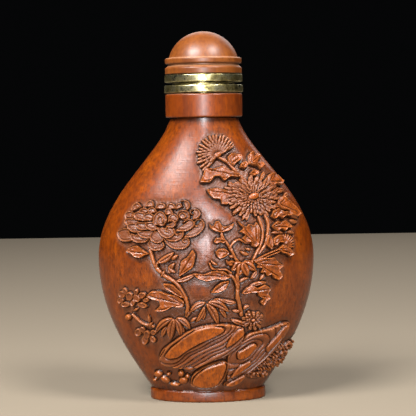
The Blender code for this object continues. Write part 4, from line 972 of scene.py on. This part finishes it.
def closed_skin(name, rings):
    """A mesh through rings of points, each ring joined to the next, and closed at both ends."""
    total, count = rings.shape[:2]
    row, column = np.meshgrid(np.arange(total - 1), np.arange(count), indexing="ij")
    after = (column + 1) % count
    quads = np.stack([row * count + column, row * count + after,
                      (row + 1) * count + after, (row + 1) * count + column], axis=-1)
    lower_cap = np.arange(count)[::-1]
    upper_cap = (total - 1) * count + np.arange(count)
    corners = np.concatenate([quads.ravel(), lower_cap, upper_cap])
    sides = (total - 1) * count
    starts = np.concatenate([np.arange(sides) * 4, [sides * 4, sides * 4 + count]])
    mesh = bpy.data.meshes.new(name)
    mesh.vertices.add(total * count)
    mesh.vertices.foreach_set("co", rings.ravel() * MM)
    mesh.loops.add(len(corners))
    mesh.loops.foreach_set("vertex_index", corners)
    mesh.polygons.add(len(starts))
    mesh.polygons.foreach_set("loop_start", starts)
    mesh.update(calc_edges=True)
    return mesh


def put_in_scene(name, data):
    """A new object of this name that carries this mesh, lamp or lens."""
    made = bpy.data.objects.new(name, data)
    bpy.context.scene.collection.objects.link(made)
    return made


def shaped_by(piece, kind, **settings):
    """Gives a piece the mesh that a modifier of this kind makes of it."""
    modifier = piece.modifiers.new(kind, kind)
    for name, value in settings.items():
        setattr(modifier, name, value)
    mesh = bpy.data.meshes.new_from_object(piece.evaluated_get(bpy.context.evaluated_depsgraph_get()))
    piece.modifiers.remove(modifier)
    piece.data = mesh
    return mesh


def carved_body():
    """The body as one closed mesh, thinned where it is plain."""
    angles, skin, marks = carve()
    sine, cosine, one = np.sin(angles), np.cos(angles), np.ones(len(angles))

    def ovals(rings):
        return np.array([np.stack([wide * sine, -deep * cosine, height * one], axis=1)
                         for wide, deep, height in rings])

    below = ovals(foot_rings()[::-1])
    mesh = closed_skin("carved_body", np.concatenate([below, skin, ovals(inner_rings())]))
    first = len(below) * len(angles)
    for name, values in marks.items():
        full = np.zeros(len(mesh.vertices))
        full[first:first + values.size] = values.ravel()
        mesh.attributes.new(name, "FLOAT", "POINT").data.foreach_set("value", full)
    body = put_in_scene("carved_body", mesh)
    thinned = shaped_by(body, "DECIMATE", ratio=KEPT_SHARE)
    thinned.shade_smooth()
    thinned.set_sharp_from_angle(angle=BODY_SHARP)
    return body


def srgb(code):
    """A colour from its sRGB hex code, turned to linear."""
    values = [int(code[k:k + 2], 16) / 255 for k in (1, 3, 5)]
    return (*[v / 12.92 if v <= 0.04045 else ((v + 0.055) / 1.055) ** 2.4 for v in values], 1.0)


def node(tree, kind, inputs=None, stops=(), out=0, **settings):
    """Adds a node with its settings and gives one of its outputs; an input is a value or another
    node's output, and stops are the places and colours of a ramp."""
    made = tree.nodes.new(kind)
    for name, value in settings.items():
        setattr(made, name, value)
    for name, value in (inputs or {}).items():
        if isinstance(value, bpy.types.NodeSocket):
            tree.links.new(value, made.inputs[name])
        else:
            made.inputs[name].default_value = value
    for number, (place, colour) in enumerate(stops):
        elements = made.color_ramp.elements
        stop = elements[number] if number < 2 else elements.new(place)
        stop.position, stop.color = place, srgb(colour)
    return made.outputs[out] if made.outputs else None


def new_material(name):
    """A material of this name without nodes, and its node tree."""
    material = bpy.data.materials.new(name)
    material.use_nodes = True
    tree = material.node_tree
    tree.nodes.clear()
    return material, tree


def layered(tree, colour, layers):
    """Colours laid over one another: what each follows, the values it starts and ends at, how much
    it covers there, and its colour."""
    for follows, start, end, least, most, tint in layers:
        share = node(tree, "ShaderNodeMapRange", {"Value": follows, "From Min": start, "From Max": end,
                                                  "To Min": least, "To Max": most})
        colour = node(tree, "ShaderNodeMix", {0: share, 6: colour, 7: srgb(tint)}, out=2, data_type="RGBA")
    return colour


def grown(tree, place, per_mm, detail, squeeze=(1, 1, 1), roughness=0.6):
    """An uneven pattern as wood and tarnish have: so many cells to the millimetre, drawn out along
    each axis where its share is below one."""
    scale = [per_mm * share / MM for share in squeeze]
    scaled = node(tree, "ShaderNodeMapping", {"Vector": place, "Scale": scale})
    return node(tree, "ShaderNodeTexNoise", {"Vector": scaled, "Scale": 1.0, "Detail": detail,
                                             "Roughness": roughness})


def fine_relief(tree, layers):
    """Grain and scratches to feel: the pattern each follows, its strength and its depth in mm."""
    normal = None
    for height, strength, depth in layers:
        inputs = {"Height": height, "Strength": strength, "Distance": depth * MM}
        if normal:
            inputs["Normal"] = normal
        normal = node(tree, "ShaderNodeBump", inputs)
    return normal


def boxwood_grain(tree, place):
    """Fibres, figure, pores and cloudy stain of boxwood whose grain stands upright."""
    fibres = grown(tree, place, FIBRES_PER_MM, 4.0, (1, 1, 0.07))
    figure = grown(tree, place, FIGURE_PER_MM, 3.0, (1, 1, 0.33))
    pores = grown(tree, place, PORES_PER_MM, 1.0, (1, 1, 0.2))
    clouds = grown(tree, place, CLOUDS_PER_MM, 5.0, (1, 1, 0.6), 0.7)
    return fibres, figure, pores, clouds


def waxed_carved_boxwood():
    """Stained boxwood, waxed and handled: glossy and orange on the high planes, dull and brown in
    the dug ground, nearly black in corners and creases with painted shade and old wax and dirt, pale
    on rubbed edges with their wear and a painted highlight, and darker round the carving, under the
    collar and above the foot with painted shade and grime."""
    material, tree = new_material("boxwood, stained, carved and waxed")
    place = node(tree, "ShaderNodeTexCoord", out="Object")
    fibres, figure, pores, clouds = boxwood_grain(tree, place)
    sanding = grown(tree, place, SANDING_PER_MM, 3.0, ROUND_THE_BODY)
    grit = grown(tree, place, GRIT_PER_MM, 2.0)
    recess_painted_shade_and_dirt, wear_and_painted_highlight, polish, ground, painted_shade_and_grime = (
        node(tree, "ShaderNodeAttribute", out="Fac", attribute_name=name)
        for name in ("recess_painted_shade_and_dirt", "wear_and_painted_highlight", "polish", "ground", "painted_shade_and_grime"))
    matte = node(tree, "ShaderNodeMath", {0: ground, 1: polish}, operation="SUBTRACT", use_clamp=True)
    patchy = node(tree, "ShaderNodeMapRange", {"Value": clouds, "From Min": 0.3, "From Max": 0.65,
                                               "To Min": 1.0, "To Max": 0.4})
    # Painted shade and grime, made patchy by the clouds
    patchy_painted_shade_and_grime = node(tree, "ShaderNodeMath", {0: painted_shade_and_grime, 1: patchy}, operation="MULTIPLY")
    base = node(tree, "ShaderNodeValToRGB", {"Fac": figure},
                stops=((0.3, "#632803"), (0.5, "#6E2F03"), (0.72, "#7E3A04")))
    colour = layered(tree, base, (
        (polish, 0.0, 1.0, 0.0, 0.8, "#984805"),
        (fibres, 0.35, 0.7, 0.0, 0.5, "#421A03"),
        (clouds, 0.36, 0.58, 0.65, 0.0, "#3A1504"),
        # Painted shade and grime: darker round the carving, under the collar and above the foot
        (patchy_painted_shade_and_grime, 0.0, 1.0, 0.0, 1.0, "#2C1208"),
        (pores, 0.62, 0.72, 0.0, 0.7, "#200A04"),
        (matte, 0.0, 1.0, 0.0, 0.75, "#5A3018"),
        # Wear with a painted highlight: paler on raised edges
        (wear_and_painted_highlight, 0.12, 0.8, 0.0, 0.26, "#A8642F"),
        # Painted shade with old wax and dirt: nearly black in corners and creases
        (recess_painted_shade_and_dirt, 0.07, 0.65, 0.0, 0.88, "#180903")))
    gloss = node(tree, "ShaderNodeMapRange", {"Value": matte, "To Min": 0.26, "To Max": 0.36})
    streaks = node(tree, "ShaderNodeMapRange", {"Value": fibres, "From Min": 0.3, "From Max": 0.8,
                                                "To Min": 0.0, "To Max": 0.1})
    rough = node(tree, "ShaderNodeMath", {0: gloss, 1: streaks}, operation="ADD")
    dug_grit = node(tree, "ShaderNodeMath", {0: grit, 1: matte}, operation="MULTIPLY")
    normal = fine_relief(tree, ((fibres, 0.12, 0.05), (pores, 0.1, 0.05), (sanding, 0.35, 0.06),
                                (dug_grit, 0.5, 0.16)))
    shader = node(tree, "ShaderNodeBsdfPrincipled", {"Base Color": colour, "Roughness": rough,
                                                     "IOR": WAX_IOR, "Normal": normal})
    node(tree, "ShaderNodeOutputMaterial", {"Surface": shader})
    return material


def polished_turned_wood(name, light, middle, dark, gloss):
    """Turned wood, stained and polished on the lathe: fine upright grain, faint turning lines, and
    edges where handling has rubbed the stain off."""
    material, tree = new_material(name)
    place = node(tree, "ShaderNodeTexCoord", out="Object")
    fibres, figure, pores, clouds = boxwood_grain(tree, place)
    turning = grown(tree, place, TURNING_PER_MM, 2.0, ROUND_THE_LATHE)
    rubbed_edge = node(tree, "ShaderNodeAttribute", out="Fac", attribute_name="rubbed_edge")
    base = node(tree, "ShaderNodeValToRGB", {"Fac": figure}, stops=((0.3, dark), (0.5, middle), (0.7, light)))
    colour = layered(tree, base, (
        (fibres, 0.35, 0.75, 0.0, 0.45, dark),
        (clouds, 0.36, 0.56, 0.6, 0.0, dark),
        (pores, 0.66, 0.74, 0.0, 0.6, "#2A0E04"),
        (rubbed_edge, 0.0, 1.0, 0.0, 0.5, "#A87E5E")))
    rough = node(tree, "ShaderNodeMapRange", {"Value": fibres, "To Min": gloss, "To Max": gloss + 0.14})
    normal = fine_relief(tree, ((turning, 0.12, 0.04), (clouds, 0.1, 0.05)))
    shader = node(tree, "ShaderNodeBsdfPrincipled", {"Base Color": colour, "Roughness": rough,
                                                     "IOR": WAX_IOR, "Normal": normal})
    node(tree, "ShaderNodeOutputMaterial", {"Surface": shader})
    return material


def worn_brass():
    """Turned brass, handled for years: pale yellow where rubbed, olive and grey tarnish elsewhere."""
    material, tree = new_material("brass, turned, worn and tarnished")
    place = node(tree, "ShaderNodeTexCoord", out="Object")
    patches = grown(tree, place, TARNISH_PER_MM, 5.0)
    specks = grown(tree, place, SPECKS_PER_MM, 3.0)
    scratches = grown(tree, place, SCRATCHES_PER_MM, 3.0, ROUND_THE_BODY)
    base = node(tree, "ShaderNodeValToRGB", {"Fac": patches},
                stops=((0.34, "#3A3526"), (0.45, "#968A58"), (0.58, "#D6CEA2")))
    colour = layered(tree, base, ((specks, 0.55, 0.7, 0.0, 0.6, "#5B532F"),))
    rough = node(tree, "ShaderNodeMapRange", {"Value": patches, "From Min": 0.3, "From Max": 0.65,
                                              "To Min": 0.5, "To Max": 0.24})
    shader = node(tree, "ShaderNodeBsdfPrincipled", {
        "Base Color": colour, "Metallic": 1.0, "Roughness": rough,
        "Normal": fine_relief(tree, ((scratches, 0.25, 0.03),))})
    node(tree, "ShaderNodeOutputMaterial", {"Surface": shader})
    return material


def eased(corners, closed):
    """A turned profile with its corners rounded: each corner is radius, height and easing."""
    count = len(corners)
    points = []
    for k, (radius, height, easing) in enumerate(corners):
        inner = closed or 0 < k < count - 1
        if not easing or not inner:
            points.append((radius, height))
            continue
        corner = Vector((radius, height))
        before = Vector(corners[k - 1][:2]) - corner
        after = Vector(corners[(k + 1) % count][:2]) - corner
        start = corner + before.normalized() * min(easing, before.length / 2)
        end = corner + after.normalized() * min(easing, after.length / 2)
        for share in (0.0, 0.25, 0.5, 0.75, 1.0):
            spot = (1 - share) ** 2 * start + 2 * share * (1 - share) * corner + share**2 * end
            points.append(tuple(spot))
    return points


def filled_in(profile, step=0.3):
    """The profile with points added along its long sides, to carry the wear of their edges."""
    dense = []
    for start, end in zip(profile, profile[1:]):
        count = max(1, math.ceil(math.dist(start, end) / step))
        dense += [(start[0] + (end[0] - start[0]) * k / count, start[1] + (end[1] - start[1]) * k / count)
                  for k in range(count)]
    return dense + [profile[-1]]


def turned_piece(name, corners, closed, material, replaced, rubbed=()):
    """A piece off the lathe, from its corners listed down the outer side first. The edges at the
    heights named as rubbed, each with its reach, have lost their stain."""
    profile = eased(corners, closed)
    if rubbed:
        profile = filled_in(profile)
    edges = [(k, k + 1) for k in range(len(profile) - 1)]
    if closed:
        edges.append((len(profile) - 1, 0))
    mesh = bpy.data.meshes.new(name)
    mesh.from_pydata([(radius * MM, 0, height * MM) for radius, height in profile], edges, [])
    piece = put_in_scene(name, mesh)
    turned = shaped_by(piece, "SCREW", steps=LATHE_STEPS, render_steps=LATHE_STEPS,
                       use_merge_vertices=True, merge_threshold=0.00001)
    edge_wear = turned.attributes.new("rubbed_edge", "FLOAT", "POINT")
    for number, vertex in enumerate(turned.vertices):
        height = vertex.co.z / MM
        edge_wear.data[number].value = max([bump(height - up, reach) for up, reach in rubbed], default=0.0)
    turned.shade_smooth()
    turned.set_sharp_from_angle(angle=LATHE_SHARP)
    turned.materials.append(material)
    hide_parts(replaced)
    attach(piece, "root")


def dress_collar(wood):
    """The wooden ring between shoulder and brass: chamfered above, undercut where it meets the body."""
    bottom, top, radius = levels("neck_collar")
    bore = TENON_RADIUS + GAP
    corners = [(bore, top, 0), (radius - COLLAR_CHAMFER, top, 0.1), (radius, top - COLLAR_CHAMFER, 0.15),
               (radius, bottom + UNDERCUT_HEIGHT, 0.2), (radius - COLLAR_UNDERCUT, bottom, 0.1),
               (bore, bottom, 0)]
    turned_piece("collar_ring", corners, True, wood, "neck_collar", rubbed=((top, 0.15),))


def dress_neck_brass(brass):
    """The lower brass ring with its raised seat, the spigot above and the sleeve in the mouth."""
    bottom, top, ring = levels("neck_ferrule")
    flange = levels("neck_collar")[1] + GAP
    seat = levels("cap_ferrule")[0] - GAP
    flange_top = seat - SEAT_HEIGHT
    corners = [(MOUTH_RADIUS, top, 0.15), (SPIGOT_RADIUS, top, 0.2), (SPIGOT_RADIUS, seat, 0.1),
               (SEAT_RADIUS, seat, 0.1), (SEAT_RADIUS, flange_top, 0.05),
               (ring - FLANGE_TAPER, flange_top, 0.2), (ring, flange, 0.2), (SLEEVE_RADIUS, flange, 0),
               (SLEEVE_RADIUS, bottom, 0.1), (MOUTH_RADIUS, bottom, 0.1)]
    turned_piece("neck_brass", corners, True, brass, "neck_ferrule")


def dress_cap_brass(brass):
    """The upper brass ring and the short tube that lines the cap."""
    bottom, top, ring = levels("cap_ferrule")
    ring_top = levels("cap")[0] - GAP
    bore = SPIGOT_RADIUS + GAP
    corners = [(bore, top, 0.1), (LINING_RADIUS, top, 0.1), (LINING_RADIUS, ring_top, 0),
               (ring, ring_top, 0.18), (ring, bottom, 0.2), (bore, bottom, 0.1)]
    turned_piece("cap_brass", corners, True, brass, "cap_ferrule")


def dress_cap(wood):
    """The cap: a dome cut from a sphere, a bead, a groove, a chamfer, a band and the socket below."""
    bottom, top, radius = levels("cap")
    band_top = bottom + BAND_HEIGHT
    groove = band_top + CHAMFER_HEIGHT
    bead = groove + GROOVE_HEIGHT
    bead_top = bead + BEAD_HEIGHT
    dome_height = top - bead_top
    sphere = (DOME_FOOT_RADIUS**2 + dome_height**2) / (2 * dome_height)
    reach = math.asin(DOME_FOOT_RADIUS / sphere)
    socket = LINING_RADIUS + GAP
    corners = []
    for k in range(DOME_RINGS + 1):
        turn = reach * k / DOME_RINGS
        corners.append((sphere * math.sin(turn), top - sphere + sphere * math.cos(turn), 0))
    corners += [(BEAD_RADIUS, bead_top, 0.35), (BEAD_RADIUS, bead, 0.35), (GROOVE_RADIUS, bead, 0.1),
                (GROOVE_RADIUS, groove, 0.1), (radius, band_top, 0.2), (radius, bottom, 0.1),
                (socket, bottom, 0), (socket, bottom + SOCKET_DEPTH, 0), (0, bottom + SOCKET_DEPTH, 0)]
    turned_piece("cap_dome", corners, False, wood, "cap",
                 rubbed=((groove - 0.1, 0.22), (bead_top, 0.13)))


def dress_body(material):
    """The carved body, in place of its plainer solid."""
    body = carved_body()
    body.data.materials.append(material)
    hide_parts("bottle_body")
    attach(body, "root")


def place_camera():
    """The camera of the photograph."""
    lens = bpy.data.cameras.new("camera")
    lens.sensor_width = 36
    lens.lens = FOCAL_PIXELS / IMAGE_SIZE * lens.sensor_width
    lens.shift_x, lens.shift_y = (value / IMAGE_SIZE for value in OFF_CENTRE)
    lens.clip_start = 0.01
    camera = put_in_scene("camera", lens)
    turn = Matrix.Rotation(math.pi / 2 - TILT, 4, "X") @ Matrix.Rotation(-LEAN, 4, "Z")
    camera.matrix_world = Matrix.Translation((0, -CAMERA_BACK * MM, CAMERA_UP * MM)) @ turn
    bpy.context.scene.camera = camera


def lamp(name, place, size, power, colour):
    """A soft rectangular lamp that is turned to the bottle."""
    light = bpy.data.lights.new(name, "AREA")
    light.shape = "RECTANGLE"
    light.size, light.size_y = size
    light.energy = power
    light.color = colour
    made = put_in_scene(name, light)
    made.location = place
    made.rotation_euler = (Vector(LAMP_AIM) - Vector(place)).to_track_quat("-Z", "Y").to_euler()


def build_stage():
    """A plain pale floor that ends some way behind, in a dim room, and soft lamps."""
    left, right, near, far = FLOOR_EDGES
    mesh = bpy.data.meshes.new("floor")
    mesh.from_pydata([(left, near, 0), (right, near, 0), (right, far, 0), (left, far, 0)], [], [(0, 1, 2, 3)])
    material, tree = new_material("pale matte paper")
    shader = node(tree, "ShaderNodeBsdfPrincipled", {"Base Color": srgb("#6E6454"), "Roughness": 0.9})
    node(tree, "ShaderNodeOutputMaterial", {"Surface": shader})
    mesh.materials.append(material)
    floor = put_in_scene("floor", mesh)
    world = bpy.data.worlds.new("studio")
    world.use_nodes = True
    background = world.node_tree.nodes["Background"].inputs
    background["Color"].default_value = ROOM_COLOUR
    background["Strength"].default_value = ROOM_STRENGTH
    bpy.context.scene.world = world
    for name, place, size, power, colour in LAMPS:
        lamp(name, place, size, power, colour)
    bpy.context.scene.view_settings.view_transform = "Standard"


place_camera()
build_stage()
carved_wood = waxed_carved_boxwood()
collar_wood = polished_turned_wood("boxwood, turned and waxed", "#7A3502", "#682B02", "#451702", 0.3)
dome_wood = polished_turned_wood("boxwood, turned and polished", "#7E4518", "#6A380E", "#4A2006", 0.33)
brass = worn_brass()
dress_body(carved_wood)
dress_collar(collar_wood)
dress_neck_brass(brass)
dress_cap_brass(brass)
dress_cap(dome_wood)
